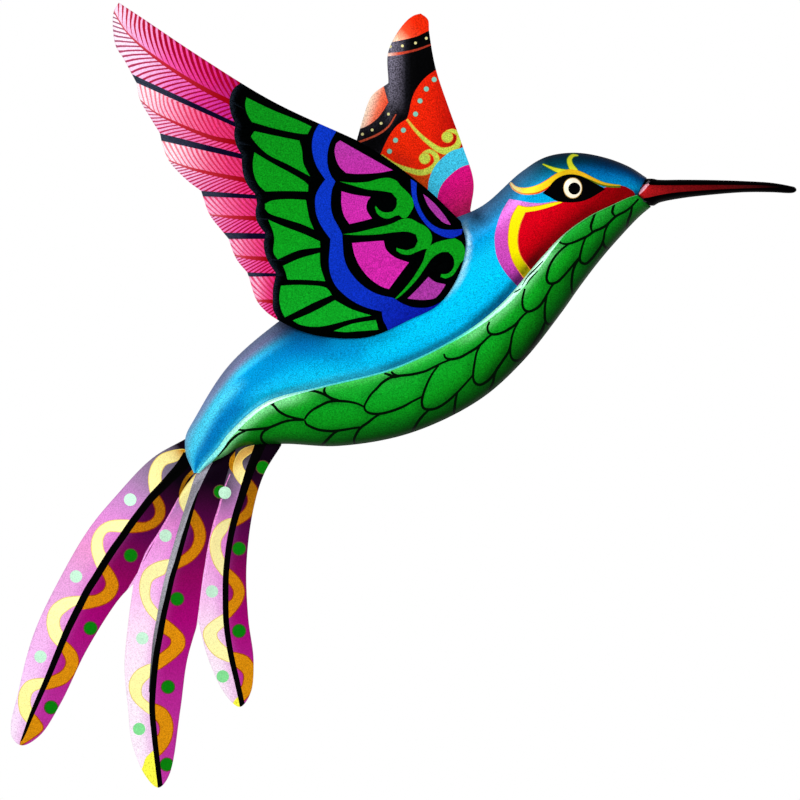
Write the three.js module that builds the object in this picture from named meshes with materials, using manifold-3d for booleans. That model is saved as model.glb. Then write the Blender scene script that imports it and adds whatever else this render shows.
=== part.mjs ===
// A hummingbird for the wall: pressed and painted steel sheets in layers, on a strap that hangs on one nail.
// Millimetres. Seen from the front, +X is to the right and +Z is up. The front faces -Y, the wall is y = 0.
// Points are [x, z] from the lower left corner of the bird. A depth is a distance out from the wall.

import * as THREE from "three";
import { mergeVertices } from "three/addons/utils/BufferGeometryUtils.js";
import Module from "manifold-3d";

const wasm = await Module();
wasm.setup();

const mix = THREE.MathUtils.lerp;
const clamp = THREE.MathUtils.clamp;
const mixPoints = (a, b, share) => [mix(a[0], b[0], share), mix(a[1], b[1], share)];
const distance = (a, b) => Math.hypot(b[0] - a[0], b[1] - a[1]);
const at = ([x, z], depth) => new THREE.Vector3(x, -depth, z);

// Overall size of the bird. Its outlines are drawn on a grid with this many steps across and up.
const WIDTH = 299;
const HEIGHT = 298.2;
const ACROSS_STEPS = 299;
const UP_STEPS = 298.2;

// Takes points drawn on the grid to their real places, also inside lists and stations.
function grid(drawn) {
  if (typeof drawn === "number") return drawn;
  if (typeof drawn[0] === "number") {
    const [x, z] = drawn;
    return [(x * WIDTH) / ACROSS_STEPS, (z * HEIGHT) / UP_STEPS];
  }
  if (Array.isArray(drawn)) return drawn.map(grid);
  return Object.fromEntries(Object.entries(drawn).map(([key, value]) => [key, grid(value)]));
}

// Sheets and clearances
const SHEET = 0.8;
const PLEATED_SHEET = 0.9;
const FIT_GAP = 0.3;
const HOLE_GAP = 0.4;
const THICKEST_WALL = 2.4;
const RIM_SHARE = 0.6;

// Layers from the wall out: hanger plate, strap, the roots of the tail and the far wing, then the body's rim
const HANGER_THICKNESS = 1.0;
const STRAP_THICKNESS = 1.2;
const STRAP_BACK = HANGER_THICKNESS + FIT_GAP;
const STRAP_FRONT = STRAP_BACK + STRAP_THICKNESS;
const ROOT_BACK = STRAP_FRONT + FIT_GAP;
const ROOT_FRONT = ROOT_BACK + PLEATED_SHEET;
const RIM = ROOT_FRONT + FIT_GAP;

// Body shell: how far its back stands out from its rim, half the width of the pressed step and the most
// of a narrow side that this takes, and the width from which a side has its full section
const CROWN = 9;
const STEP_HALF = 0.8;
const STEP_LIMIT = 0.3;
const BROAD = 20;

// Stations from the tip of the rump to the bill: back edge, step, belly edge, share of the full crown
const BODY_STATIONS = grid([
  { back: [69.7, 119.4], step: [70.8, 119.3], belly: [71.9, 119.4], crown: 0 },
  { back: [66.8, 126.5], step: [74.6, 124.1], belly: [75.8, 122.8], crown: 0.3 },
  { back: [66.6, 133], step: [79, 129], belly: [82, 126], crown: 0.55 },
  { back: [70.5, 140.8], step: [83.3, 134.7], belly: [88, 129.4], crown: 0.8 },
  { back: [83.1, 160.3], step: [97, 146.2], belly: [104, 130.4], crown: 1 },
  { back: [104, 178.5], step: [118, 152.2], belly: [125, 129.6], crown: 1 },
  { back: [133, 198], step: [146, 159.4], belly: [152, 134.8], crown: 1 },
  { back: [163, 213.8], step: [172, 172.3], belly: [178, 147.3], crown: 1 },
  { back: [179.5, 221], step: [187, 184], belly: [194.5, 162], crown: 1 },
  { back: [194.1, 233.7], step: [201, 200.2], belly: [208.5, 180], crown: 1 },
  { back: [203.5, 239.5], step: [210, 209.7], belly: [216.5, 191.3], crown: 0.98 },
  { back: [214.5, 241.2], step: [220, 216.9], belly: [224.6, 201.7], crown: 0.95 },
  { back: [226, 239.4], step: [229, 221.3], belly: [232.5, 210.3], crown: 0.9 },
  { back: [235.5, 235.8], step: [235, 224], belly: [239, 217.2], crown: 0.84 },
  { back: [242.1, 231.6], step: [238.3, 225], belly: [243.7, 220.6], crown: 0.76 },
]);

// Section of the body, as [share of the way from the edge to the step, share of the crown]
const BACK_SECTION = [
  [0, 0],
  [0.05, 0.42],
  [0.13, 0.72],
  [0.24, 0.93],
  [0.36, 1],
  [0.64, 1],
  [0.8, 0.96],
  [0.92, 0.9],
  [1, 0.84],
];
const BELLY_SECTION = [
  [0, 0],
  [0.07, 0.4],
  [0.2, 0.68],
  [0.4, 0.89],
  [0.65, 1.01],
  [0.87, 1.05],
  [1, 1.02],
];

// Eye boss, pressed into the head
const EYE = grid([213.8, 227.6]);
const EYE_WIDTH = 8.4;
const EYE_HEIGHT = 8.8;
const EYE_RISE = 0.9;

// Bill: stations from the notch in the head to the tip, as upper edge, lower edge and height of its ridge
const BILL_BACK = RIM + FIT_GAP;
const BILL_EDGE = 0.5;
const BILL_STATIONS = grid([
  { top: [239.1, 225.6], bottom: [239.2, 224.75], ridge: 6.4 },
  { top: [242.6, 231.3], bottom: [244.1, 221.0], ridge: 6.6 },
  { top: [246.5, 230.9], bottom: [247, 222.2], ridge: 6.4 },
  { top: [255, 230.9], bottom: [255, 223.8], ridge: 5.6 },
  { top: [266, 230.8], bottom: [266, 225.1], ridge: 4.6 },
  { top: [279, 230.4], bottom: [279, 226.1], ridge: 3.8 },
  { top: [290, 229.7], bottom: [290, 226.1], ridge: 3.2 },
  { top: [296.8, 228.5], bottom: [296.8, 225.8], ridge: 2.4 },
  { top: [299, 227.2], bottom: [299, 226.7], ridge: 1.2 },
]);
const BILL_ARC_STEPS = 8;
const TANG_IN_HEAD = 11;
const TANG_IN_BILL = 5;
const TANG_HEIGHT = 5.6;
const TANG_DEPTH = 3.4;

// Near wing: two studs on the crown of the body, a flat seat round them, then an arch to the feather tips
const CROWN_LINE = BODY_STATIONS.map(({ back, step }) => mixPoints(back, step, 0.5));
const STUD_SHARES = [0.09, 0.66];
const WING_STUDS = STUD_SHARES.map((share) => mixPoints(CROWN_LINE[6], CROWN_LINE[7], share));
const NEAR_SEAT = mixPoints(...WING_STUDS, 0.5);
const SEAT_RADIUS = 14;
const NEAR_ARCH = 8;
const ARCH_TURN = 1.6 * Math.PI;
const NEAR_CAMBER = 2;
const CAMBER_WIDTH = 40;
const CAMBER_START = 0.33;
const NEAR_PLEAT = 0.8;
const NEAR_BACK = RIM + CROWN + FIT_GAP;

// Feathers of the near wing from the top down: quill at the dark border, half way and at the tip,
// then the groove below it at the border and at the edge
const NEAR_FEATHERS = grid([
  { quill: [[83.2, 260.3], [58.4, 274.8], [39.5, 294.7]], groove: [[85.8, 251.5], [47.2, 269.2]] },
  { quill: [[85.6, 244.8], [66.5, 250.4], [49.7, 260.8]], groove: [[88.2, 239.4], [57.4, 246.8]] },
  { quill: [[89.4, 230.5], [76, 233.2], [60.9, 237.6]], groove: [[93.3, 224.1], [72.9, 225.4]] },
  { quill: [[93, 216], [84.5, 216.8], [76, 217.5]], groove: [[97.3, 209.3], [82.2, 209.3]] },
  { quill: [[97.5, 200.7], [91, 201.2], [85, 202.2]], groove: [[101.2, 194.6], [90.3, 194.7]] },
  { quill: [[100, 184.5], [97, 184.6], [93.8, 184.9]] },
]);
const NEAR_ABOVE = grid([[90, 273], [64, 290], [45.5, 304]]);
const NEAR_BELOW = grid([[103, 173.5], [96.5, 175.5], [90, 178]]);
const NEAR_ROOT_LINE = grid([[184, 216], [177, 160]]);
const NEAR_PLATE_LINE = grid([[140, 251], [138, 164]]);
const PAST_THE_EDGE = 12;

const NEAR_OUTLINE = grid([
  [[41.5, 297.9], [39.6, 294.5], [39.3, 287.7], [40.5, 281.1], [43.4, 276.5], [46.5, 270.7]],
  [[48.3, 267.3], [49.7, 260.8], [53.6, 254], [57.2, 248.2]],
  [[57.9, 244.5], [60.6, 237.8], [67.6, 230.3], [72.8, 226.4]],
  [[73.4, 224.4], [76, 217.4], [81.3, 210.5]],
  [[83.2, 208.2], [86, 200.8], [90.2, 195.5]],
  [[90.8, 193.9], [93.8, 184.9], [97.5, 180.5], [102, 177.3]],
  [[102, 177.3], [109.2, 173.8], [119.9, 171], [136.4, 171], [152, 177.6], [162.8, 183.3], [170.3, 194.2],
    [173.2, 206.3], [171.3, 215]],
  [[171.3, 215], [158, 227.6], [141, 240.2], [131.5, 245.8]],
  [[131.5, 245.8], [100, 260.3], [72, 277.5], [50, 292.3], [41.5, 297.9]],
]);

// Far wing: a flat root behind the shoulder, then a convex blade from the bend on its spine
const FAR_BEND = grid([163, 222]);
const FAR_ARCH = 6;
const FAR_ARCH_TURN = 1.5 * Math.PI;
const FAR_SPINE_SLOPE = 0.11;
const FAR_CAMBER = 0.006;
const FAR_GROOVE = 0.8;
const FAR_RAILS = grid([
  { points: [[146, 178], [137, 214], [127, 246], [133, 268], [134, 286], [142, 300]], groove: 0 },
  { points: [[153, 178], [146, 214], [140.5, 246], [143.6, 267.8], [141.5, 284], [148.5, 299]], groove: 1 },
  { points: [[164, 179], [160, 214], [155, 246], [152.5, 266], [151.5, 283], [154.5, 298]], groove: 0 },
  { points: [[184, 182], [183, 214], [176.5, 246], [167, 268], [162.5, 284], [161.5, 299]], groove: 0 },
]);
const FAR_OUTLINE = grid([
  [[156.1, 294.1], [158.8, 291.8], [159.3, 287], [161.7, 273.4], [167, 257.4], [171.8, 244.3], [176.2, 230],
    [175, 219.3]],
  [[175, 219.3], [179.5, 199], [174, 190]],
  [[174, 190], [163, 184.5], [156, 187]],
  [[156, 187], [153, 198], [137, 232], [131.7, 245.8]],
  [[131.7, 245.8], [134.1, 254], [137.5, 262.8], [143.8, 267.6]],
  [[143.8, 267.6], [143.8, 279.7], [149.6, 290.1], [153.4, 293.3], [156.1, 294.1]],
]);

// Tail: three feathers pleated from one sheet. Rails run from the flat root to past the tips,
// at seven stations. The shares say how high the quills stand there, the lifts how far the sheet curls out.
const RIDGE = 5;
const TAIL_ROOT_LINE = grid([[66, 154], [114, 148]]);
const RIDGE_SHARES = [0, 0, 0.8, 1, 1, 0.95, 0.5, 0.3];
const EDGE_LIFTS = [0, 0, 0, 0.1, 0.3, 0.8, 1.6, 2];
const TAIL_RAILS = grid([
  {
    points: [[63, 135.5], [41, 115], [25.8, 96.5], [13.8, 74.3], [3.2, 45.5], [-3, 19], [-7, 6]],
    ridge: 0,
  },
  {
    points: [[67, 124.3], [52, 108.5], [38, 89.5], [26, 69], [14.5, 42], [4, 15.5], [-1, 3]],
    ridge: 1,
  },
  {
    points: [[69.7, 119.3], [62, 106.6], [49, 82.6], [36.5, 62], [24, 38.5], [9, 13], [7, 2]],
    ridge: 0,
  },
  {
    points: [[70.5, 119], [62.8, 106.2], [49.9, 82.4], [43.6, 62], [42.6, 36], [46.5, 3], [50, -10]],
    ridge: 0,
  },
  {
    points: [[76, 122], [69.5, 107.5], [62, 84.5], [57.6, 63], [54.2, 36], [56.8, 2], [59, -10]],
    ridge: 1,
  },
  {
    points: [[85, 126.4], [79.6, 108.5], [74, 84.5], [71.1, 63.2], [66.8, 36], [62.5, 3], [64, -10]],
    ridge: 0,
  },
  {
    points: [[85.9, 126.6], [80.5, 108.5], [74.9, 84.4], [71.9, 63], [75.9, 44], [82, 29.5], [84, 16]],
    ridge: 0,
  },
  {
    points: [[92.5, 128], [86.2, 108.5], [81.9, 84.5], [82.3, 62], [85.3, 44], [88.3, 30.3], [91, 17]],
    ridge: 1,
  },
  {
    points: [[104.5, 131], [94.8, 108.5], [91.5, 84.5], [92.4, 62], [94.4, 44], [94.6, 29], [97, 16]],
    ridge: 0,
  },
]);
const TAIL_OUTLINE = grid([
  [[66.5, 132.3], [54, 125], [40, 110.5], [30, 98.3], [20, 81.5], [9, 58.5], [3, 36], [0.2, 20], [4.2, 15.8],
    [11, 19.3], [19, 31.5], [29, 52], [41, 71], [46.8, 77.2]],
  [[46.8, 77.2], [45, 64], [43.4, 46], [44.7, 30], [46.3, 16.5], [51.5, 4], [56.3, -0.3], [60.2, 4],
    [64.6, 29], [67.2, 48], [71.4, 62.9]],
  [[71.4, 62.9], [75.5, 48], [82, 34.8], [87.3, 30.4], [91.3, 35.5], [92.5, 48], [90.5, 64], [89.8, 84],
    [92.3, 105], [96.5, 119], [103, 129.8]],
  [[103, 129.8], [104, 138], [103, 146], [98, 155]],
  [[98, 155], [86, 154], [78, 146], [66.5, 132.3]],
]);

// Strap: a straight bar along the back, with the fasteners at these shares of its length
const STRAP_START = grid([80, 138]);
const STRAP_END = grid([196, 214]);
const STRAP_WIDTH = 12;
const TAIL_RIVETS = [0.058, 0.144];
const HANGER_RIVETS = [0.332, 0.433];
const FAR_WING_RIVETS = [0.721, 0.808];
const BODY_POSTS = [0.231, 0.599, 0.923];

// Hanger plate and its keyhole. The part's origin is where the nail sits, in the top of the slot.
const NAIL = grid([127.8, 205]);
const SLOT_RADIUS = 2;
const ENTRY_RADIUS = 4.4;
const ENTRY_BELOW = 8;
const HANGER_HALF_WIDTH = 8.5;
const HANGER_FOOT_RADIUS = 6;

// Fasteners
const RIVET_RADIUS = 1.5;
const RIVET_HEAD_RADIUS = 3;
const RIVET_DOME_RADIUS = 2.8;
const RIVET_DOME_HEIGHT = 1.3;
const HEAD_BACK = 0.1;
const POST_RADIUS = 3;
const SCREW_RADIUS = 1.4;
const SCREW_SHARE = 0.45;
const SCREW_TIP = RIM + SCREW_SHARE * CROWN;
const BORE_PAST_SCREW = 1;
const STUD_RADIUS = 2;
const STUD_PAST_NUT = 1.2;
const NUT_ACROSS_CORNERS = 8.1;
const NUT_SIDES = 6;
const NUT_HEIGHT = 3.2;
const NUT_FRONT = RIM + CROWN - SHEET - FIT_GAP;
const NUT_BACK = NUT_FRONT - NUT_HEIGHT;

// How finely the splines and rounds are stepped, and how far cuts run past what they cut
const BODY_STEPS = 3;
const RAIL_STEPS = 4;
const TAIL_STEPS = 3;
const OUTLINE_STEPS = 3;
const ROUND_STEPS = 20;
const SAME_POINT = 0.01;
const WELD = 1e-4;
const PAST_FACE = 1;
const ABOVE_ALL = 60;

// A closed set of triangles as a solid with its faces out.
function closedSolid(positions, triangles) {
  const vertProperties = new Float32Array(positions);
  const make = (triVerts) =>
    new wasm.Manifold(new wasm.Mesh({ numProp: 3, vertProperties, triVerts: new Uint32Array(triVerts) }));
  const made = make(triangles);
  if (made.volume() > 0) return made;
  const turned = [];
  for (let i = 0; i < triangles.length; i += 3) turned.push(triangles[i], triangles[i + 2], triangles[i + 1]);
  return make(turned);
}

// A closed three.js geometry as a solid.
function solidOf(geometry) {
  const bare = geometry.clone();
  bare.deleteAttribute("normal");
  bare.deleteAttribute("uv");
  const merged = mergeVertices(bare, WELD);
  const index = merged.index.array;
  const triangles = [];
  for (let i = 0; i < index.length; i += 3) {
    const [a, b, c] = [index[i], index[i + 1], index[i + 2]];
    if (a !== b && b !== c && c !== a) triangles.push(a, b, c);
  }
  return closedSolid(merged.attributes.position.array, triangles);
}

function meshOf(name, solid, finish) {
  const made = solid.getMesh();
  const geometry = new THREE.BufferGeometry();
  geometry.setAttribute("position", new THREE.BufferAttribute(made.vertProperties, 3));
  geometry.setIndex(new THREE.BufferAttribute(made.triVerts, 1));
  geometry.computeVertexNormals();
  const mesh = new THREE.Mesh(geometry, finish);
  mesh.name = name;
  return mesh;
}

// A spline through the points, with the same number of steps between each two of them.
function spline(points, steps) {
  const curve = new THREE.CatmullRomCurve3(points.map(([x, z]) => new THREE.Vector3(x, 0, z)));
  return curve.getPoints((points.length - 1) * steps).map((p) => [p.x, p.z]);
}

// A closed outline of smooth runs that meet at corners.
function outlineShape(runs) {
  const points = runs.flatMap((run) => spline(run, OUTLINE_STEPS));
  const apart = points.filter((p, k) => distance(p, points[(k + 1) % points.length]) > SAME_POINT);
  return new THREE.Shape(apart.map(([x, z]) => new THREE.Vector2(x, z)));
}

// A flat shape as a solid between two depths.
function prism(shape, low, high) {
  const options = { depth: high - low, bevelEnabled: false, curveSegments: ROUND_STEPS / 2 };
  const geometry = new THREE.ExtrudeGeometry(shape, options);
  geometry.rotateX(Math.PI / 2);
  geometry.translate(0, -low, 0);
  return solidOf(geometry);
}

function round([x, z], radius, low, high, sides = ROUND_STEPS) {
  const geometry = new THREE.CylinderGeometry(radius, radius, high - low, sides);
  geometry.translate(x, -(low + high) / 2, z);
  return solidOf(geometry);
}

// A turned piece on an axis square to the wall, from a profile of [radius, depth].
function turned([x, z], profile) {
  const points = profile.map(([radius, depth]) => new THREE.Vector2(radius, -depth));
  const geometry = new THREE.LatheGeometry(points, ROUND_STEPS);
  geometry.translate(x, 0, z);
  return solidOf(geometry);
}

// A closed solid between two matching nets of points, its front and its back.
function netSolid(front, back) {
  const rails = front.length;
  const stations = front[0].length;
  const positions = [...front.flat(), ...back.flat()].flatMap((p) => [p.x, p.y, p.z]);
  const f = (i, j) => i * stations + j;
  const b = (i, j) => rails * stations + i * stations + j;
  const triangles = [];
  const quad = (p, q, r, s) => triangles.push(p, q, r, p, r, s);
  const [m, n] = [rails - 1, stations - 1];
  for (let i = 0; i < m; i++) {
    for (let j = 0; j < n; j++) {
      quad(f(i, j), f(i + 1, j), f(i + 1, j + 1), f(i, j + 1));
      quad(b(i, j), b(i, j + 1), b(i + 1, j + 1), b(i + 1, j));
    }
    quad(f(i, 0), b(i, 0), b(i + 1, 0), f(i + 1, 0));
    quad(f(i, n), f(i + 1, n), b(i + 1, n), b(i, n));
  }
  for (let j = 0; j < n; j++) {
    quad(f(0, j), f(0, j + 1), b(0, j + 1), b(0, j));
    quad(f(m, j), b(m, j), b(m, j + 1), f(m, j + 1));
  }
  return closedSolid(positions, triangles);
}

// The same net of points, each moved to another depth.
const withDepth = (net, depthOf) =>
  net.map((rail) => rail.map((p) => new THREE.Vector3(p.x, -depthOf(-p.y), p.z)));

// The outer face of the body shell, as rails from the back edge over the step to the belly edge.
function bodyNet() {
  const along = (key) => spline(BODY_STATIONS.map((row) => row[key]), BODY_STEPS);
  const [backs, steps, bellies] = [along("back"), along("step"), along("belly")];
  const crowns = spline(BODY_STATIONS.map((row) => [row.crown, 0]), BODY_STEPS).map(([share]) => share);
  const side = (edges, section) =>
    section.map(([share, lift], k) =>
      edges.map((edge, j) => {
        const width = distance(edge, steps[j]);
        const brink = mixPoints(steps[j], edge, Math.min(STEP_HALF / width, STEP_LIMIT));
        const even = k / (section.length - 1);
        const place = mix(even, share, Math.min(width / BROAD, 1));
        return at(mixPoints(edge, brink, place), RIM + CROWN * clamp(crowns[j], 0, 1) * lift);
      }),
    );
  return [...side(backs, BACK_SECTION), ...side(bellies, BELLY_SECTION).reverse()];
}

// The inner face of the body shell: one sheet thickness in, with a flat rim round the open back.
function innerNet(outer) {
  const last = outer.length - 1;
  const inward = (p, q) => {
    const step = q.clone().sub(p).setY(0);
    return step.setLength(Math.min(SHEET, RIM_SHARE * step.length()));
  };
  return outer.map((rail, i) =>
    rail.map((p, j) => {
      const inner = p.clone();
      if (i === 0) inner.add(inward(p, outer[1][j]));
      if (i === last) inner.add(inward(p, outer[last - 1][j]));
      if (j === 0) inner.add(inward(p, rail[1]));
      const onRim = i === 0 || i === last || j === 0;
      if (onRim) return inner.setY(-RIM);
      const across = outer[i + 1][j].clone().sub(outer[i - 1][j]);
      const lengthways = rail[Math.min(j + 1, rail.length - 1)].clone().sub(rail[j - 1]);
      const facing = Math.abs(across.cross(lengthways).normalize().y);
      const wall = Math.min(SHEET / facing, THICKEST_WALL * SHEET);
      return inner.setY(-Math.max(-p.y - wall, RIM));
    }),
  );
}

// A low pressed dome on the shell, where the eye is painted.
function eyeBoss(outer) {
  const shell = new THREE.Mesh(meshOf("probe", netSolid(outer, innerNet(outer))).geometry);
  shell.material.side = THREE.DoubleSide;
  const ray = new THREE.Raycaster(at(EYE, ABOVE_ALL), new THREE.Vector3(0, 1, 0));
  const surface = -ray.intersectObject(shell)[0].point.y;
  const geometry = new THREE.SphereGeometry(1, ROUND_STEPS, ROUND_STEPS / 2);
  geometry.scale(EYE_WIDTH / 2, EYE_RISE + SHEET / 2, EYE_HEIGHT / 2);
  geometry.translate(EYE[0], -(surface - SHEET / 2), EYE[1]);
  return solidOf(geometry);
}

// The pressed shell with its eye boss, holed for the studs of the near wing.
function bodyShell(outer, inner) {
  let shell = netSolid(outer, inner).add(eyeBoss(outer));
  for (const place of WING_STUDS) {
    shell = shell.subtract(round(place, STUD_RADIUS + HOLE_GAP, RIM, ABOVE_ALL));
  }
  return shell;
}

// The room inside the body shell, a fitting gap clear of the sheet.
function bodyRoom(inner) {
  return netSolid(withDepth(inner, (depth) => depth - FIT_GAP), withDepth(inner, () => 0));
}

// The bill: a spike with a rounded front and a flat back, and a tang that goes into the head.
function bill() {
  const front = [];
  for (let k = 0; k <= BILL_ARC_STEPS; k++) {
    const share = (1 - Math.cos((Math.PI * k) / BILL_ARC_STEPS)) / 2;
    const lift = Math.sin((Math.PI * k) / BILL_ARC_STEPS);
    front.push(
      BILL_STATIONS.map(({ top, bottom, ridge }) =>
        at(mixPoints(top, bottom, share), BILL_BACK + BILL_EDGE + (ridge - BILL_EDGE) * lift),
      ),
    );
  }
  const spike = netSolid(front, withDepth(front, () => BILL_BACK));
  const root = mixPoints(BILL_STATIONS[0].top, BILL_STATIONS[0].bottom, 0.5);
  const tang = new THREE.BoxGeometry(TANG_IN_HEAD + TANG_IN_BILL, TANG_DEPTH, TANG_HEIGHT);
  const middle = root[0] + (TANG_IN_BILL - TANG_IN_HEAD) / 2;
  tang.translate(middle, -(BILL_BACK + BILL_EDGE + TANG_DEPTH / 2), root[1]);
  return spike.add(solidOf(tang));
}

// A sheet of even thickness over rails, trimmed to its outline.
function trimmedSheet(rails, thickness, outline) {
  const slab = netSolid(withDepth(rails, (depth) => depth + thickness), rails);
  return slab.intersect(prism(outlineShape(outline), 0, ABOVE_ALL));
}

// Depth of the back of the near wing before pleating.
function nearWingDepth([x, z]) {
  const [dx, dz] = [x - NEAR_SEAT[0], z - NEAR_SEAT[1]];
  const tip = NEAR_OUTLINE[0][0];
  const [ax, az] = [tip[0] - NEAR_SEAT[0], tip[1] - NEAR_SEAT[1]];
  const reach = Math.hypot(ax, az);
  const out = clamp((Math.hypot(dx, dz) - SEAT_RADIUS) / (reach - SEAT_RADIUS), 0, 1);
  const aside = (dx * az - dz * ax) / reach;
  const arch = (NEAR_ARCH * (1 - Math.cos(ARCH_TURN * out))) / 2;
  const camber = NEAR_CAMBER * (aside / CAMBER_WIDTH) ** 2 * Math.min(out / CAMBER_START, 1);
  return NEAR_BACK + arch - camber;
}

// Rails of the near wing from its root to past the feather tips, on each quill and each groove.
function nearWingRails() {
  const lines = [{ points: NEAR_ABOVE, pleat: 0 }];
  for (const { quill, groove } of NEAR_FEATHERS) {
    lines.push({ points: quill, pleat: 1 });
    if (groove) lines.push({ points: [groove[0], mixPoints(...groove, 0.5), groove[1]], pleat: -1 });
  }
  lines.push({ points: NEAR_BELOW, pleat: 0 });
  return lines.map(({ points, pleat }, k) => {
    const share = k / (lines.length - 1);
    const [, half, tip] = points;
    const past = mixPoints(half, tip, 1 + PAST_THE_EDGE / distance(half, tip));
    const [root, plate] = [mixPoints(...NEAR_ROOT_LINE, share), mixPoints(...NEAR_PLATE_LINE, share)];
    const border = 2 * RAIL_STEPS;
    return spline([root, plate, ...points, past], RAIL_STEPS).map((p, j) => {
      const depth = nearWingDepth(p) + pleat * NEAR_PLEAT * clamp((j - border) / RAIL_STEPS, 0, 1);
      return at(p, depth);
    });
  });
}

function nearWing() {
  return trimmedSheet(nearWingRails(), SHEET, NEAR_OUTLINE);
}

// Depth of the back of the far wing: flat at the root, then arched along and across.
function farWingDepth([x, z]) {
  const past = z - FAR_BEND[1];
  const out = clamp(past / (FAR_OUTLINE[0][0][1] - FAR_BEND[1]), 0, 1);
  const aside = x - FAR_BEND[0] + FAR_SPINE_SLOPE * past;
  const arch = (FAR_ARCH * (1 - Math.cos(FAR_ARCH_TURN * out))) / 2;
  return ROOT_BACK + arch - FAR_CAMBER * aside ** 2 * Math.min(out / CAMBER_START, 1) * out;
}

function farWing() {
  const rails = FAR_RAILS.map(({ points, groove }) =>
    spline(points, RAIL_STEPS).map((p, j) => {
      const fade = clamp(j / RAIL_STEPS - 1, 0, 1);
      return at(p, farWingDepth(p) - groove * FAR_GROOVE * fade);
    }),
  );
  let wing = trimmedSheet(rails, PLEATED_SHEET, FAR_OUTLINE);
  for (const place of alongStrap(FAR_WING_RIVETS)) {
    wing = wing.subtract(round(place, RIVET_RADIUS + HOLE_GAP, 0, ABOVE_ALL));
  }
  return wing;
}

function tailFan() {
  const shares = spline(RIDGE_SHARES.map((share) => [share, 0]), TAIL_STEPS).map(([share]) => share);
  const lifts = spline(EDGE_LIFTS.map((lift) => [lift, 0]), TAIL_STEPS).map(([lift]) => lift);
  const flat = TAIL_STEPS;
  const rails = TAIL_RAILS.map(({ points, ridge }, k) => {
    const root = mixPoints(...TAIL_ROOT_LINE, k / (TAIL_RAILS.length - 1));
    return spline([root, ...points], TAIL_STEPS).map((p, j) => {
      const rise = j > flat ? ridge * RIDGE * shares[j] + lifts[j] : 0;
      return at(p, ROOT_BACK + rise);
    });
  });
  let tail = trimmedSheet(rails, PLEATED_SHEET, TAIL_OUTLINE);
  for (const place of alongStrap(TAIL_RIVETS)) {
    tail = tail.subtract(round(place, RIVET_RADIUS + HOLE_GAP, 0, ABOVE_ALL));
  }
  return tail;
}

// Places on the strap's middle line, by their shares of the way up it.
const alongStrap = (shares) => shares.map((share) => mixPoints(STRAP_START, STRAP_END, share));

// The directions square to the strap, above it and below it, as angles.
function acrossStrap() {
  const lie = Math.atan2(STRAP_END[1] - STRAP_START[1], STRAP_END[0] - STRAP_START[0]);
  return { above: lie + Math.PI / 2, below: lie + (3 * Math.PI) / 2 };
}

function hole(shape, [x, z], radius) {
  shape.holes.push(new THREE.Path().absarc(x, z, radius, 0, 2 * Math.PI, true));
}

function backStrap() {
  const { above, below } = acrossStrap();
  const shape = new THREE.Shape();
  shape.absarc(...STRAP_END, STRAP_WIDTH / 2, below - 2 * Math.PI, above);
  shape.absarc(...STRAP_START, STRAP_WIDTH / 2, above, below);
  for (const place of alongStrap([...TAIL_RIVETS, ...HANGER_RIVETS, ...FAR_WING_RIVETS])) {
    hole(shape, place, RIVET_RADIUS + HOLE_GAP);
  }
  for (const place of alongStrap(BODY_POSTS)) hole(shape, place, SCREW_RADIUS + HOLE_GAP);
  return prism(shape, STRAP_BACK, STRAP_FRONT);
}

// Rivet whose flat head lies behind the strap, and whose dome holds a root sheet against it.
function rootRivet(place) {
  return turned(place, [
    [0, HEAD_BACK],
    [RIVET_HEAD_RADIUS, HEAD_BACK],
    [RIVET_HEAD_RADIUS, HANGER_THICKNESS],
    [RIVET_RADIUS, HANGER_THICKNESS],
    ...dome(RIM),
  ]);
}

// Rivet with a sunk head, flush with the back of the hanger plate.
function hangerRivet(place) {
  return turned(place, [
    [0, HEAD_BACK],
    [RIVET_DOME_RADIUS, HEAD_BACK],
    [RIVET_RADIUS, HANGER_THICKNESS],
    ...dome(ROOT_BACK),
  ]);
}

// The shank's end and the domed head that stands on it.
function dome(base) {
  return [
    [RIVET_RADIUS, base],
    [RIVET_DOME_RADIUS, base],
    [RIVET_DOME_RADIUS * Math.cos(Math.PI / 6), base + RIVET_DOME_HEIGHT / 2],
    [RIVET_DOME_RADIUS / 2, base + RIVET_DOME_HEIGHT * Math.sin(Math.PI / 3)],
    [0, base + RIVET_DOME_HEIGHT],
  ];
}

// The plate from the nail down to its two feet on the strap, with the keyhole and the sunk rivet holes.
function hangerPlate() {
  const feet = alongStrap(HANGER_RIVETS);
  const { below } = acrossStrap();
  const shape = new THREE.Shape();
  shape.absarc(...NAIL, HANGER_HALF_WIDTH, 0, Math.PI);
  shape.absarc(...feet[0], HANGER_FOOT_RADIUS, Math.PI, below);
  shape.absarc(...feet[1], HANGER_FOOT_RADIUS, below, 2 * Math.PI);
  const lean = Math.asin(SLOT_RADIUS / ENTRY_RADIUS);
  const keyhole = new THREE.Path();
  keyhole.absarc(...NAIL, SLOT_RADIUS, Math.PI, 0, true);
  keyhole.absarc(NAIL[0], NAIL[1] - ENTRY_BELOW, ENTRY_RADIUS, Math.PI / 2 - lean, Math.PI / 2 + lean, true);
  shape.holes.push(keyhole);
  let plate = prism(shape, 0, HANGER_THICKNESS);
  for (const place of feet) {
    const sunk = turned(place, [
      [0, -PAST_FACE],
      [RIVET_DOME_RADIUS + HOLE_GAP, -PAST_FACE],
      [RIVET_DOME_RADIUS + HOLE_GAP, HEAD_BACK],
      [RIVET_RADIUS + HOLE_GAP, HANGER_THICKNESS],
      [RIVET_RADIUS + HOLE_GAP, STRAP_FRONT],
      [0, STRAP_FRONT],
    ]);
    plate = plate.subtract(sunk);
  }
  return plate;
}

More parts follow.
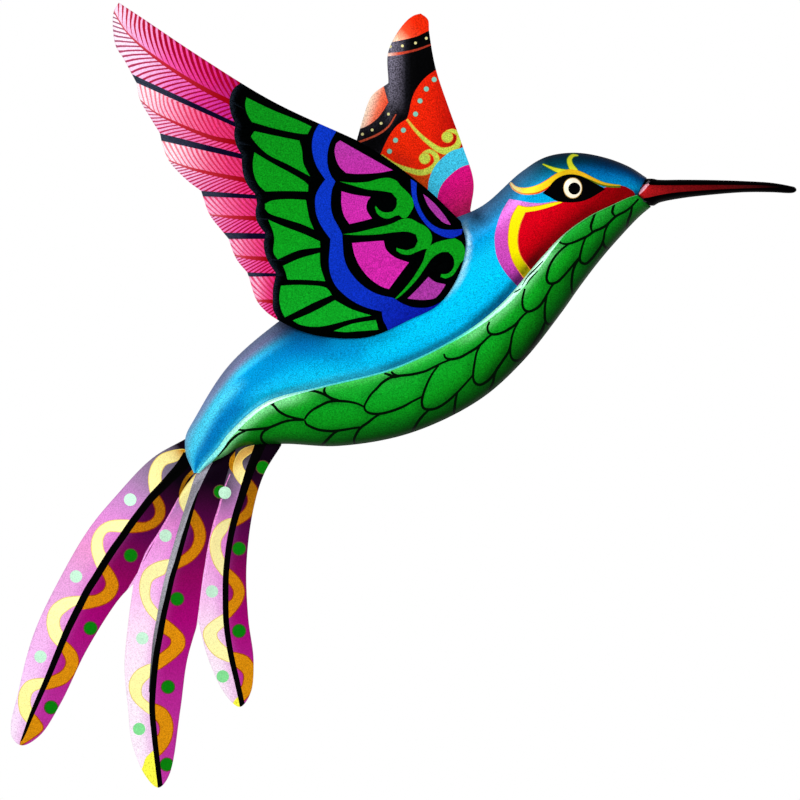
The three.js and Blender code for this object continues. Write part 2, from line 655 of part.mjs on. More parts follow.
// A post from the strap to the inside of the body shell, bored for its screw.
function bodyPost(place, room) {
  const post = round(place, POST_RADIUS, ROOT_BACK, ABOVE_ALL).intersect(room);
  return post.subtract(round(place, SCREW_RADIUS + HOLE_GAP, 0, SCREW_TIP + BORE_PAST_SCREW));
}

// A low-head screw through the strap into a post.
function bodyScrew(place) {
  return turned(place, [
    [0, HEAD_BACK],
    [RIVET_HEAD_RADIUS, HEAD_BACK],
    [RIVET_HEAD_RADIUS, HANGER_THICKNESS],
    [SCREW_RADIUS, HANGER_THICKNESS],
    [SCREW_RADIUS, SCREW_TIP - SCREW_RADIUS],
    [0, SCREW_TIP],
  ]);
}

// A stud on the back of the near wing, long enough for the nut inside the body shell.
function wingStud(place) {
  return round(place, STUD_RADIUS, NUT_BACK - STUD_PAST_NUT, RIM + CROWN);
}

function wingNut(place) {
  const nut = round(place, NUT_ACROSS_CORNERS / 2, NUT_BACK, NUT_FRONT, NUT_SIDES);
  return nut.subtract(round(place, STUD_RADIUS + HOLE_GAP, 0, ABOVE_ALL));
}

// Finishes
function finish(color, roughness, metalness) {
  return new THREE.MeshStandardMaterial({ color, roughness, metalness });
}
const BLUE_PAINT = finish(0x009fe0, 0.4, 0.35);
const BLACK_PAINT = finish(0x0c0808, 0.4, 0.35);
const WING_PAINT = finish(0x1a9e1e, 0.45, 0.3);
const RED_PAINT = finish(0xe03010, 0.45, 0.3);
const MAGENTA_PAINT = finish(0xa8148c, 0.45, 0.3);
const BACK_PAINT = finish(0x202022, 0.6, 0.2);
const ZINC = finish(0xb4b6b8, 0.35, 0.9);

const outer = bodyNet();
const inner = innerNet(outer);
const room = bodyRoom(inner);

const bird = new THREE.Group();
bird.add(meshOf("body_shell", bodyShell(outer, inner), BLUE_PAINT));
bird.add(meshOf("bill", bill(), BLACK_PAINT));
bird.add(meshOf("near_wing", nearWing(), WING_PAINT));
bird.add(meshOf("far_wing", farWing(), RED_PAINT));
bird.add(meshOf("tail_fan", tailFan(), MAGENTA_PAINT));
bird.add(meshOf("back_strap", backStrap(), BACK_PAINT));
bird.add(meshOf("hanger_plate", hangerPlate(), ZINC));

function addEach(name, places, make) {
  places.forEach((place, k) => bird.add(meshOf(`${name}_${k + 1}`, make(place), ZINC)));
}
addEach("tail_rivet", alongStrap(TAIL_RIVETS), rootRivet);
addEach("far_wing_rivet", alongStrap(FAR_WING_RIVETS), rootRivet);
addEach("hanger_rivet", alongStrap(HANGER_RIVETS), hangerRivet);
addEach("body_post", alongStrap(BODY_POSTS), (place) => bodyPost(place, room));
addEach("body_screw", alongStrap(BODY_POSTS), bodyScrew);
addEach("wing_stud", WING_STUDS, wingStud);
addEach("wing_nut", WING_STUDS, wingNut);
bird.position.set(-NAIL[0], 0, -NAIL[1]);

const hummingbird = new THREE.Group();
hummingbird.add(bird);

export default hummingbird;
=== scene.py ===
# A painted metal hummingbird for the wall, dressed over its CAD solids.
# Drawing points are (x, z) in millimetres from the lower left corner of the bird, as seen from the front.
# A depth is a distance out from the wall, also in millimetres. Blender's own units are metres.
import math
from collections import namedtuple

import bmesh
import bpy
import numpy as np
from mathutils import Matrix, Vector
from mathutils.bvhtree import BVHTree
from mathutils.geometry import delaunay_2d_cdt


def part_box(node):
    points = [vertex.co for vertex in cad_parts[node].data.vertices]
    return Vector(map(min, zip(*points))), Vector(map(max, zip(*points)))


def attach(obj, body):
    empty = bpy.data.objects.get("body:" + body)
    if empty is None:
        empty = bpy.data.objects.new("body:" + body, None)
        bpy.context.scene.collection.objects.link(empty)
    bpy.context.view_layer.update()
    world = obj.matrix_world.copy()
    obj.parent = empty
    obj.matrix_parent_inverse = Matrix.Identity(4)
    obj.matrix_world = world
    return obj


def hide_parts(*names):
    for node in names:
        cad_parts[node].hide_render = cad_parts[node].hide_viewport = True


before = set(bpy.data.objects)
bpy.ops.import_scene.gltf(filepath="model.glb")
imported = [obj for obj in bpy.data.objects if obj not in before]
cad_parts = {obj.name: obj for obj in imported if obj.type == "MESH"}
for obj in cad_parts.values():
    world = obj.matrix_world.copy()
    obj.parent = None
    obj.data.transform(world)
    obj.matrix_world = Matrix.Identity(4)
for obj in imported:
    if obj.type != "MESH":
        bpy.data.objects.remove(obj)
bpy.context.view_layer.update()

MM = 0.001
NAIL = (127.8, 205.0)

# Sheets and layers, as in the CAD
SHEET = 0.8
PLEATED_SHEET = 0.9
ROOT_BACK = 2.8
RIM = 4.0
CROWN = 9.0
THICKEST_WALL = 2.4

# Body: back edge, step, belly edge, share of the full crown
BODY_STATIONS = [
    ((69.7, 119.4), (70.8, 119.3), (71.9, 119.4), 0),
    ((66.8, 126.5), (74.6, 124.1), (75.8, 122.8), 0.3),
    ((66.6, 133), (79, 129), (82, 126), 0.55),
    ((70.5, 140.8), (83.3, 134.7), (88, 129.4), 0.8),
    ((83.1, 160.3), (97, 146.2), (104, 130.4), 1),
    ((104, 178.5), (118, 152.2), (125, 129.6), 1),
    ((133, 198), (146, 159.4), (152.1, 134.5), 1),
    ((163, 213.8), (172, 172.3), (178.2, 147), 1),
    ((179.5, 221), (187, 184), (194.8, 161.7), 1),
    ((194.1, 233.7), (201, 200.2), (209.1, 179.6), 1),
    ((203.5, 239.5), (210, 209.7), (217.1, 190.9), 0.98),
    ((214.5, 241.2), (220, 216.9), (225.1, 201.3), 0.95),
    ((226, 239.4), (229, 221.3), (232.8, 210.1), 0.9),
    ((235.5, 235.8), (235, 224), (239.3, 216.9), 0.84),
    ((242.1, 231.6), (238.3, 225), (243.7, 220.6), 0.76),
]
BACK_SECTION = [(0, 0), (0.05, 0.42), (0.13, 0.72), (0.24, 0.93), (0.36, 1), (0.64, 1), (0.8, 0.96),
                (0.92, 0.9), (1, 0.84)]
BELLY_SECTION = [(0, 0), (0.07, 0.4), (0.2, 0.68), (0.4, 0.89), (0.65, 1.01), (0.87, 1.05), (1, 1.02)]
STEP_HALF = 0.8
STEP_LIMIT = 0.3
BROAD = 20
EYE = (213.8, 227.6)
EYE_WIDTH = 8.4
EYE_HEIGHT = 8.8
EYE_RISE = 0.9

# Bill: upper edge, lower edge, height of its ridge
BILL_BACK = 4.3
BILL_EDGE = 0.5
BILL_STATIONS = [
    ((238.79, 225.72), (238.93, 224.57), 6.4),
    ((242.12, 231.46), (243.66, 220.72), 6.6),
    ((246.5, 230.9), (247, 222.2), 6.4),
    ((255, 230.9), (255, 223.8), 5.6),
    ((266, 230.8), (266, 225.1), 4.6),
    ((279, 230.4), (279, 226.1), 3.8),
    ((290, 229.7), (290, 226.1), 3.2),
    ((296.8, 228.5), (296.8, 225.8), 2.4),
    ((298.3, 228.1), (298.3, 226.1), 1.9),
    ((299, 227.4), (299, 226.7), 1.0),
]
TANG_IN_HEAD = 11
TANG_IN_BILL = 5
TANG_HEIGHT = 5.6
TANG_DEPTH = 3.4

# Near wing
NEAR_BACK = 13.3
STUD_SHARES = (0.09, 0.66)
SEAT_RADIUS = 14
NEAR_ARCH = 8
ARCH_TURN = 1.6 * math.pi
NEAR_CAMBER = 2
CAMBER_WIDTH = 40
CAMBER_START = 0.33
NEAR_PLEAT = 0.8
NEAR_FEATHERS = [
    ([(83.2, 260.3), (58.4, 274.8), (39.5, 294.7)], [(85.8, 251.5), (47.2, 269.2)]),
    ([(85.6, 244.8), (66.5, 250.4), (49.7, 260.8)], [(88.2, 239.4), (57.4, 246.8)]),
    ([(89.4, 230.5), (76, 233.2), (60.9, 237.6)], [(93.3, 224.1), (72.9, 225.4)]),
    ([(93, 216), (84.5, 216.8), (76, 217.5)], [(97.3, 209.3), (82.2, 209.3)]),
    ([(97.5, 200.7), (91, 201.2), (85, 202.2)], [(101.2, 194.6), (90.3, 194.7)]),
    ([(100, 184.5), (97, 184.6), (93.8, 184.9)], None),
]
NEAR_ABOVE = [(90, 273), (64, 290), (45.5, 304)]
NEAR_BELOW = [(103, 173.5), (96.5, 175.5), (90, 178)]
NEAR_ROOT_LINE = [(184, 216), (177, 160)]
NEAR_PLATE_LINE = [(140, 251), (138, 164)]
PAST_THE_EDGE = 12
NEAR_OUTLINE = [
    [(41.5, 297.9), (39.6, 294.5), (39.3, 287.7), (40.5, 281.1), (43.4, 276.5), (46.5, 270.7)],
    [(48.3, 267.3), (49.7, 260.8), (53.6, 254), (57.2, 248.2)],
    [(57.9, 244.5), (60.6, 237.8), (67.6, 230.3), (72.8, 226.4)],
    [(73.4, 224.4), (76, 217.4), (81.3, 210.5)],
    [(83.2, 208.2), (86, 200.8), (90.2, 195.5)],
    [(90.8, 193.9), (93.8, 184.9), (97.5, 180.5), (102, 177.3)],
    [(102, 177.3), (109.2, 173.8), (119.9, 171), (136.4, 171), (152, 177.6), (162.8, 183.3), (170.3, 194.2),
     (173.2, 206.3), (171.3, 215)],
    [(171.3, 215), (158, 227.6), (141, 240.2), (131.5, 245.8)],
    [(131.5, 245.8), (100, 260.3), (72, 277.5), (50, 292.3), (41.5, 297.9)],
]

# Far wing
FAR_BEND = (163, 222)
FAR_ARCH = 6
FAR_ARCH_TURN = 1.5 * math.pi
FAR_SPINE_SLOPE = 0.11
FAR_CAMBER = 0.006
FAR_GROOVE = 0.8
FAR_RAILS = [
    ([(146, 178), (137, 214), (127, 246), (133, 268), (134, 286), (142, 300)], 0),
    ([(153, 178), (146, 214), (140.5, 246), (143.6, 267.8), (141.5, 284), (148.5, 299)], 1),
    ([(164, 179), (160, 214), (155, 246), (152.5, 266), (151.5, 283), (154.5, 298)], 0),
    ([(184, 182), (183, 214), (176.5, 246), (167, 268), (162.5, 284), (161.5, 299)], 0),
]
FAR_OUTLINE = [
    [(156.1, 294.1), (158.8, 291.8), (159.3, 287), (161.7, 273.4), (167, 257.4), (171.8, 244.3), (176.2, 230),
     (175, 219.3)],
    [(175, 219.3), (179.5, 199), (174, 190)],
    [(174, 190), (163, 184.5), (156, 187)],
    [(156, 187), (153, 198), (137, 232), (131.7, 245.8)],
    [(131.7, 245.8), (134.1, 254), (137.5, 262.8), (143.8, 267.6)],
    [(143.8, 267.6), (143.8, 279.7), (149.6, 290.1), (153.4, 293.3), (156.1, 294.1)],
]

# Tail
RIDGE = 5
TAIL_ROOT_LINE = [(66, 154), (114, 148)]
RIDGE_SHARES = [0, 0, 0.8, 1, 1, 0.95, 0.5, 0.3]
EDGE_LIFTS = [0, 0, 0, 0.1, 0.3, 0.8, 1.6, 2]
TAIL_RAILS = [
    ([(63, 135.5), (41, 115), (25.8, 96.5), (13.8, 74.3), (3.2, 45.5), (-3, 19), (-7, 6)], 0),
    ([(67, 124.3), (52, 108.5), (38, 89.5), (26, 69), (14.5, 42), (4, 15.5), (-1, 3)], 1),
    ([(69.7, 119.3), (62, 106.6), (49, 82.6), (36.5, 62), (24, 38.5), (9, 13), (7, 2)], 0),
    ([(70.5, 119), (62.8, 106.2), (49.9, 82.4), (43.6, 62), (42.6, 36), (46.5, 3), (50, -10)], 0),
    ([(76, 122), (69.5, 107.5), (62, 84.5), (57.6, 63), (54.2, 36), (56.8, 2), (59, -10)], 1),
    ([(85, 126.4), (79.6, 108.5), (74, 84.5), (71.1, 63.2), (66.8, 36), (62.5, 3), (64, -10)], 0),
    ([(85.9, 126.6), (80.5, 108.5), (74.9, 84.4), (71.9, 63), (75.9, 44), (82, 29.5), (84, 16)], 0),
    ([(92.5, 128), (86.2, 108.5), (81.9, 84.5), (82.3, 62), (85.3, 44), (88.3, 30.3), (91, 17)], 1),
    ([(104.5, 131), (94.8, 108.5), (91.5, 84.5), (92.4, 62), (94.4, 44), (94.6, 29), (97, 16)], 0),
]
TAIL_OUTLINE = [
    [(66.5, 132.3), (54, 125), (40, 110.5), (30, 98.3), (20, 81.5), (9, 58.5), (3, 36), (0.2, 20),
     (4.2, 15.8), (11, 19.3), (19, 31.5), (29, 52), (41, 71), (46.8, 77.2)],
    [(46.8, 77.2), (45, 64), (43.4, 46), (44.7, 30), (46.3, 16.5), (51.5, 4), (56.3, -0.3), (60.2, 4),
     (64.6, 29), (67.2, 48), (71.4, 62.9)],
    [(71.4, 62.9), (75.5, 48), (82, 34.8), (87.3, 30.4), (91.3, 35.5), (92.5, 48), (90.5, 64), (89.8, 84),
     (92.3, 105), (96.5, 119), (103, 129.8)],
    [(103, 129.8), (104, 138), (103, 146), (98, 155)],
    [(98, 155), (86, 154), (78, 146), (66.5, 132.3)],
]

# Strap, with the rivets at these shares of its length
STRAP_START = (80, 138)
STRAP_END = (196, 214)
TAIL_RIVETS = (0.058, 0.144)
FAR_WING_RIVETS = (0.721, 0.808)
RIVET_HOLE = 1.9
STUD_HOLE = 2.4

# Fineness of the mesh
OUTLINE_STEPS = 10
NET_STEPS = 10
RAIL_CELLS = 8
SMOOTH_STEPS = 4
BILL_ROWS = 17
RISER_SHARES = (0.25, 0.5, 0.75)
ROUND_POINTS = 24
DOT_POINTS = 16
EDGE_ROUND = 0.35
STEEPEST = 3.0
SAME_POINT = 0.01
MESH_PRECISION = 1e-5
# Points that lie closer than this become one
MERGED = 0.002
# Points beside an outline stay at least this share of their inset away from all of it
INSET_KEPT = 0.9
# An outline has a corner where it turns by more than this
CORNER_TURN = math.radians(38)
# A soft brush comes in over this length, from this share of its strength
BRUSH_TAPER = 8
BRUSH_END = 0.3
NET_SPACING = 1.6
BILL_SPACING = 1
BODY_INSETS = (0.15, 0.35, 0.7, 1.2, 1.9, 2.8)
BILL_INSETS = (0.2, 0.5, 1)


def mix(a, b, share):
    return np.asarray(a, float) * (1 - share) + np.asarray(b, float) * share


def spline(points, steps):
    """A centripetal spline through the points, with the same number of steps between each two of them."""
    given = np.array(points, float)
    chain = np.vstack([2 * given[0] - given[1], given, 2 * given[-1] - given[-2]])
    gaps = np.linalg.norm(np.diff(chain, axis=0), axis=1) ** 0.5
    shares = np.arange(steps)[:, None] / steps
    runs = []
    for k in range(len(given) - 1):
        a, b, c, d = chain[k:k + 4]
        middle = gaps[k + 1] if gaps[k + 1] > SAME_POINT else 1.0
        first = gaps[k] if gaps[k] > SAME_POINT else middle
        last = gaps[k + 2] if gaps[k + 2] > SAME_POINT else middle
        leave = ((b - a) / first - (c - a) / (first + middle) + (c - b) / middle) * middle
        arrive = ((c - b) / middle - (d - b) / (middle + last) + (d - c) / last) * middle
        square, cube = 3 * (c - b) - 2 * leave - arrive, 2 * (b - c) + leave + arrive
        runs.append(b + leave * shares + square * shares ** 2 + cube * shares ** 3)
    return np.vstack([*runs, given[-1:]])


def without_doubles(points):
    """A closed outline without points that lie on each other."""
    apart = np.linalg.norm(points - np.roll(points, -1, axis=0), axis=1) > SAME_POINT
    return points[apart]


def joined_runs(runs, steps):
    return without_doubles(np.vstack([spline(run, steps) for run in runs]))


def ring(centre, radius, height=None, points=ROUND_POINTS):
    turn = np.arange(points) * 2 * math.pi / points
    return np.column_stack([centre[0] + radius * np.cos(turn), centre[1] + (height or radius) * np.sin(turn)])


def along_strap(shares):
    return [mix(STRAP_START, STRAP_END, share) for share in shares]


def inside(points, outline):
    """Which of the points lie in the outline."""
    x, z = points.T
    found = np.zeros(len(points), bool)
    for (ax, az), (bx, bz) in zip(outline, np.roll(outline, -1, axis=0)):
        if az != bz:
            found ^= ((az > z) != (bz > z)) & (x < (bx - ax) * (z - az) / (bz - az) + ax)
    return found


def distance_to(points, line, closed=False):
    """For each point: its distance to the line, and how far along the line its foot lies."""
    starts, ends = (line, np.roll(line, -1, axis=0)) if closed else (line[:-1], line[1:])
    way = ends - starts
    length = np.maximum(np.linalg.norm(way, axis=1), MESH_PRECISION)
    passed = np.concatenate([[0], np.cumsum(length)[:-1]])
    best = np.full(len(points), np.inf)
    foot = np.zeros(len(points))
    for start, step, size, before in zip(starts, way, length, passed):
        share = np.clip((points - start) @ step / size ** 2, 0, 1)
        gap = np.linalg.norm(points - start - share[:, None] * step, axis=1)
        nearer = gap < best
        best[nearer] = gap[nearer]
        foot[nearer] = before + share[nearer] * size
    return best, foot


class Relief:
    """The outer face of a pressed sheet: a fine net of points with depths, read anywhere on the drawing."""

    def __init__(self, x, z, depth, across=None, along=None):
        rows, columns = x.shape
        across = np.zeros_like(x) if across is None else across
        along = np.zeros_like(x) if along is None else along
        place = np.stack([x, -depth, z], axis=-1)
        facing = np.cross(np.gradient(place, axis=0), np.gradient(place, axis=1))
        flat = np.where(np.abs(facing[..., 1]) < MESH_PRECISION, MESH_PRECISION, facing[..., 1])
        slope_x = np.clip(facing[..., 0] / flat, -STEEPEST, STEEPEST)
        slope_z = np.clip(facing[..., 2] / flat, -STEEPEST, STEEPEST)
        self.fields = np.stack([depth, slope_x, slope_z, across, along], axis=-1).reshape(rows * columns, 5)
        self.points = np.column_stack([x.ravel(), z.ravel()])
        corner = (np.arange(rows - 1)[:, None] * columns + np.arange(columns - 1)).ravel()
        lower = np.column_stack([corner, corner + 1, corner + columns])
        upper = np.column_stack([corner + 1, corner + columns + 1, corner + columns])
        self.triangles = np.vstack([lower, upper])
        flat_net = [(x, 0, z) for x, z in self.points]
        self.tree = BVHTree.FromPolygons(flat_net, self.triangles.tolist())

    def read(self, points):
        """Depth, slope in x, slope in z, share across and share along at the points."""
        hits = [self.tree.find_nearest(Vector((x, 0, z))) for x, z in points]
        foot = np.array([(hit[0].x, hit[0].z) for hit in hits])
        corners = self.triangles[[hit[2] for hit in hits]]
        a, b, c = (self.points[corners[:, k]] for k in range(3))
        whole = cross2(b - a, c - a)
        whole = np.where(np.abs(whole) < MESH_PRECISION ** 2, MESH_PRECISION ** 2, whole)
        share_b = np.clip(cross2(foot - a, c - a) / whole, 0, 1)
        share_c = np.clip(cross2(b - a, foot - a) / whole, 0, 1)
        weights = np.stack([1 - share_b - share_c, share_b, share_c], axis=-1)
        return np.einsum("pk,pkf->pf", weights, self.fields[corners])


def cross2(a, b):
    return a[:, 0] * b[:, 1] - a[:, 1] * b[:, 0]


def brink_of(steps, edges):
    """The line beside the step where its slope begins, on the side of these edges."""
    width = np.maximum(np.linalg.norm(edges - steps, axis=1), MESH_PRECISION)
    return steps + (edges - steps) * np.minimum(STEP_HALF / width, STEP_LIMIT)[:, None]


def body_relief():
    """Rails from the back edge over the step to the belly edge, and stations from the rump to the bill."""
    backs, steps, bellies = (spline([row[k] for row in BODY_STATIONS], NET_STEPS) for k in range(3))
    crowns = np.clip(spline([(row[3], 0) for row in BODY_STATIONS], NET_STEPS)[:, 0], 0, 1)
    rails = []
    for edges, section, side in ((backs, BACK_SECTION, -1), (bellies, BELLY_SECTION, 1)):
        breadth = np.minimum(np.linalg.norm(edges - steps, axis=1) / BROAD, 1)
        brink = brink_of(steps, edges)
        shares = spline(section, SMOOTH_STEPS)
        rows = []
        for k, (share, lift) in enumerate(shares):
            place = mix(k / (len(shares) - 1), share, breadth)
            points = mix(edges, brink, place[:, None])
            rows.append((points, RIM + CROWN * crowns * lift, (1 + side * (1 - place)) / 2))
        rails.append(rows)
    back, belly = rails
    (upper, upper_depth, _), (lower, lower_depth, _) = back[-1], belly[-1]
    middle = np.full(len(crowns), 0.5)
    riser = []
    for share in RISER_SHARES:
        eased = share * share * (3 - 2 * share)
        riser.append((mix(upper, lower, share), mix(upper_depth, lower_depth, eased), middle))
    points, depth, across = (np.stack(field) for field in zip(*back, *riser, *belly[::-1]))
    along = np.broadcast_to(np.linspace(0, 1, len(crowns)), depth.shape)
    return Relief(points[..., 0], points[..., 1], depth, across, along)


def between_rails(rails, depths):
    """A net with straight cells between rails of points."""
    rows, row_depths = [], []
    for k in range(len(rails) - 1):
        for cell in range(RAIL_CELLS):
            share = cell / RAIL_CELLS
            rows.append(mix(rails[k], rails[k + 1], share))
            row_depths.append(mix(depths[k], depths[k + 1], share))
    rows.append(rails[-1])
    row_depths.append(depths[-1])
    return np.stack(rows), np.stack(row_depths)


def rail_relief(rails, depths):
    net, depth = between_rails(rails, depths)
    across = np.broadcast_to(np.linspace(0, 1, len(net))[:, None], depth.shape)
    along = np.broadcast_to(np.linspace(0, 1, depth.shape[1]), depth.shape)
    return Relief(net[..., 0], net[..., 1], depth, across, along)


def wing_studs():
    crown_line = [mix(row[0], row[1], 0.5) for row in BODY_STATIONS]
    return [mix(crown_line[6], crown_line[7], share) for share in STUD_SHARES]


def near_depth(points):
    seat = mix(*wing_studs(), 0.5)
    tip = np.array(NEAR_OUTLINE[0][0]) - seat
    reach = np.linalg.norm(tip)
    way = points - seat
    out = np.clip((np.linalg.norm(way, axis=1) - SEAT_RADIUS) / (reach - SEAT_RADIUS), 0, 1)
    aside = (way[:, 0] * tip[1] - way[:, 1] * tip[0]) / reach
    arch = NEAR_ARCH * (1 - np.cos(ARCH_TURN * out)) / 2
    camber = NEAR_CAMBER * (aside / CAMBER_WIDTH) ** 2 * np.minimum(out / CAMBER_START, 1)
    return NEAR_BACK + arch - camber


def near_rails():
    """Lines from the root over the feathers, with their pleats: 1 for a quill, -1 for a groove."""
    lines = [(NEAR_ABOVE, 0)]
    for quill, groove in NEAR_FEATHERS:
        lines.append((quill, 1))
        if groove:
            lines.append(([groove[0], mix(*groove, 0.5), groove[1]], -1))
    lines.append((NEAR_BELOW, 0))
    rails = []
    for k, (points, pleat) in enumerate(lines):
        share = k / (len(lines) - 1)
        half, tip = np.array(points[1]), np.array(points[2])
        past = tip + (tip - half) * PAST_THE_EDGE / np.linalg.norm(tip - half)
        rail = spline([mix(*NEAR_ROOT_LINE, share), mix(*NEAR_PLATE_LINE, share), *points, past], NET_STEPS)
        rails.append((rail, pleat))
    return rails


def near_relief():
    rails, depths = [], []
    for rail, pleat in near_rails():
        rise = np.clip(np.arange(len(rail)) / NET_STEPS - 2, 0, 1)
        rails.append(rail)
        depths.append(near_depth(rail) + SHEET + pleat * NEAR_PLEAT * rise)
    return rail_relief(rails, depths)


def far_depth(points):
    past = points[:, 1] - FAR_BEND[1]
    out = np.clip(past / (FAR_OUTLINE[0][0][1] - FAR_BEND[1]), 0, 1)
    aside = points[:, 0] - FAR_BEND[0] + FAR_SPINE_SLOPE * past
    arch = FAR_ARCH * (1 - np.cos(FAR_ARCH_TURN * out)) / 2
    return ROOT_BACK + arch - FAR_CAMBER * aside ** 2 * np.minimum(out / CAMBER_START, 1) * out


def far_relief():
    rails, depths = [], []
    for points, groove in FAR_RAILS:
        rail = spline(points, NET_STEPS)
        fade = np.clip(np.arange(len(rail)) / NET_STEPS - 1, 0, 1)
        rails.append(rail)
        depths.append(far_depth(rail) + PLEATED_SHEET - groove * FAR_GROOVE * fade)
    return rail_relief(rails, depths)


def tail_relief():
    shares = spline([(share, 0) for share in RIDGE_SHARES], NET_STEPS)[:, 0]
    lifts = spline([(lift, 0) for lift in EDGE_LIFTS], NET_STEPS)[:, 0]
    rails, depths = [], []
    for k, (points, ridge) in enumerate(TAIL_RAILS):
        root = mix(*TAIL_ROOT_LINE, k / (len(TAIL_RAILS) - 1))
        rail = spline([root, *points], NET_STEPS)
        past_root = np.arange(len(rail)) > NET_STEPS
        rails.append(rail)
        depths.append(ROOT_BACK + PLEATED_SHEET + (ridge * RIDGE * shares + lifts) * past_root)
    return rail_relief(rails, depths)


def bill_relief():
    tops, bottoms = (spline([row[k] for row in BILL_STATIONS], NET_STEPS) for k in range(2))
    ridges = spline([(row[0][0], row[2]) for row in BILL_STATIONS], NET_STEPS)[:, 1]
    rows, depths = [], []
    for turn in np.linspace(0, math.pi, BILL_ROWS):
        rows.append(mix(tops, bottoms, (1 - math.cos(turn)) / 2))
        depths.append(BILL_BACK + BILL_EDGE + (ridges - BILL_EDGE) * math.sin(turn))
    points, depth = np.stack(rows), np.stack(depths)
    across = np.broadcast_to(np.linspace(0, 1, len(rows))[:, None], depth.shape)
    along = np.broadcast_to(np.linspace(0, 1, depth.shape[1]), depth.shape)
    return Relief(points[..., 0], points[..., 1], depth, across, along)


def inset_points(outline, inset):
    """Points beside the outline, this far in."""
    way = np.roll(outline, -1, axis=0) - np.roll(outline, 1, axis=0)
    way /= np.maximum(np.linalg.norm(way, axis=1), MESH_PRECISION)[:, None]
    normal = np.column_stack([-way[:, 1], way[:, 0]]) * inset
    moved = np.vstack([outline + normal, outline - normal])
    moved = moved[inside(moved, outline)]
    gap, _ = distance_to(moved, outline, closed=True)
    return moved[gap > INSET_KEPT * inset]


def even_points(outline, spacing, margin):
    """Points on an even net of triangles inside the outline."""
    low, high = outline.min(axis=0), outline.max(axis=0)
    rows = np.arange(low[1], high[1], spacing * math.sqrt(3) / 2)
    columns = np.arange(low[0], high[0], spacing)
    points = np.vstack([np.column_stack([columns + (k % 2) * spacing / 2, np.full(len(columns), z)])
                        for k, z in enumerate(rows)])
    points = points[inside(points, outline)]
    gap, _ = distance_to(points, outline, closed=True)
    return points[gap > margin]


def triangulated(outline, holes, lines, loose):
    """Triangles over the outline that keep every line as an edge."""
    points, edges = [], []
    for line, closed in [(outline, True)] + [(hole, True) for hole in holes] + lines:
        first = len(points)
        points.extend(line.tolist())
        edges.extend((first + k, first + k + 1) for k in range(len(line) - 1))
        if closed:
            edges.append((first + len(line) - 1, first))
    points.extend(loose.tolist())
    made = delaunay_2d_cdt([Vector(p) for p in points], edges, [], 0, MERGED, False)
    places = np.array([tuple(p) for p in made[0]])
    faces = np.array([face for face in made[2] if len(face) == 3])
    a, b, c = (places[faces[:, k]] for k in range(3))
    turned = cross2(b - a, c - a) < 0
    faces[turned] = faces[turned][:, ::-1]
    middle = (a + b + c) / 3
    kept = inside(middle, outline)
    for hole in holes:
        kept &= ~inside(middle, hole)
    faces = faces[kept]
    used, faces = np.unique(faces, return_inverse=True)
    return places[used], faces.reshape(-1, 3)


def boundary_edges(faces):
    """The edges that only one face has, in that face's order."""
    edges = np.vstack([faces[:, [0, 1]], faces[:, [1, 2]], faces[:, [2, 0]]])
    _, place, count = np.unique(np.sort(edges, axis=1), axis=0, return_index=True, return_counts=True)
    return edges[place[count == 1]]


def to_metres(points, depth):
    return np.column_stack([points[:, 0] - NAIL[0], -depth, points[:, 1] - NAIL[1]]) * MM


def unit(vectors):
    return vectors / np.maximum(np.linalg.norm(vectors, axis=1), MESH_PRECISION)[:, None]


def placed(name, data):
    """A new object in the scene."""
    made = bpy.data.objects.new(name, data)
    bpy.context.scene.collection.objects.link(made)
    return made


def clip_to_box(places, node):
    low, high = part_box(node)
    return np.clip(places, low, high)


def outline_in_box(outline, node):
    """The drawing's outline, held to the box of the CAD node."""
    low, high = (np.array([corner[0], corner[2]]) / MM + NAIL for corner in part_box(node))
    return np.clip(outline, low, high)


def outward_at(points, edges):
    """At each point of the rim, the direction out of the sheet."""
    way = points[edges[:, 1]] - points[edges[:, 0]]
    sideways = np.zeros((len(points), 2))
    for ends in edges.T:
        np.add.at(sideways, ends, np.column_stack([way[:, 1], -way[:, 0]]))
    return unit(np.column_stack([sideways[:, 0], np.zeros(len(points)), sideways[:, 1]]))


def topmost_paints(points, faces, paints):
    """For each face, the last of the paints that covers its middle."""
    middle = points[faces].mean(axis=1)
    chosen = np.full(len(faces), -1)
    for k, (_, shape, _) in enumerate(paints):
        low, high = shape.min(axis=0), shape.max(axis=0)
        near = np.flatnonzero(((middle > low) & (middle < high)).all(axis=1))
        chosen[near[inside(middle[near], shape)]] = k
    return chosen


def read_beside(points, faces, chosen, paints, layers):
    """Adds what the readers of the paints say at the corners of their own faces."""
    for k, (_, _, reader) in enumerate(paints):
        own = np.flatnonzero(chosen == k)
        if reader and len(own):
            for key, values in reader(points[faces[own]].reshape(-1, 2)).items():
                layer = layers.setdefault(key, np.zeros(faces.size))
                layer.reshape(-1, 3)[own] = values.reshape(-1, 3)


def add_soft_strokes(points, faces, brushes, layers):
    """Adds each soft stroke, which fades to its sides and toward its ends. Most strokes are painted shade and
    highlights.
    """
    for key, line, radius, strength in brushes:
        smooth = spline(line, SMOOTH_STEPS)
        gap, foot = distance_to(points, smooth)
        length = np.linalg.norm(np.diff(smooth, axis=0), axis=1).sum()
        fade = np.clip(np.minimum(foot, length - foot) / BRUSH_TAPER + BRUSH_END, 0, 1)
        layer = layers.setdefault(key, np.zeros(faces.size))
        layer += (strength * fade * np.exp(-(gap / radius) ** 2))[faces].ravel()


def write_layers(mesh, layers):
    """Stores the values of the front's corners, which come first. All others get 0."""
    for key, values in layers.items():
        attribute = mesh.attributes.new(key, "FLOAT", "CORNER")
        filled = np.concatenate([values, np.zeros(len(mesh.loops) - len(values))])
        attribute.data.foreach_set("value", filled)


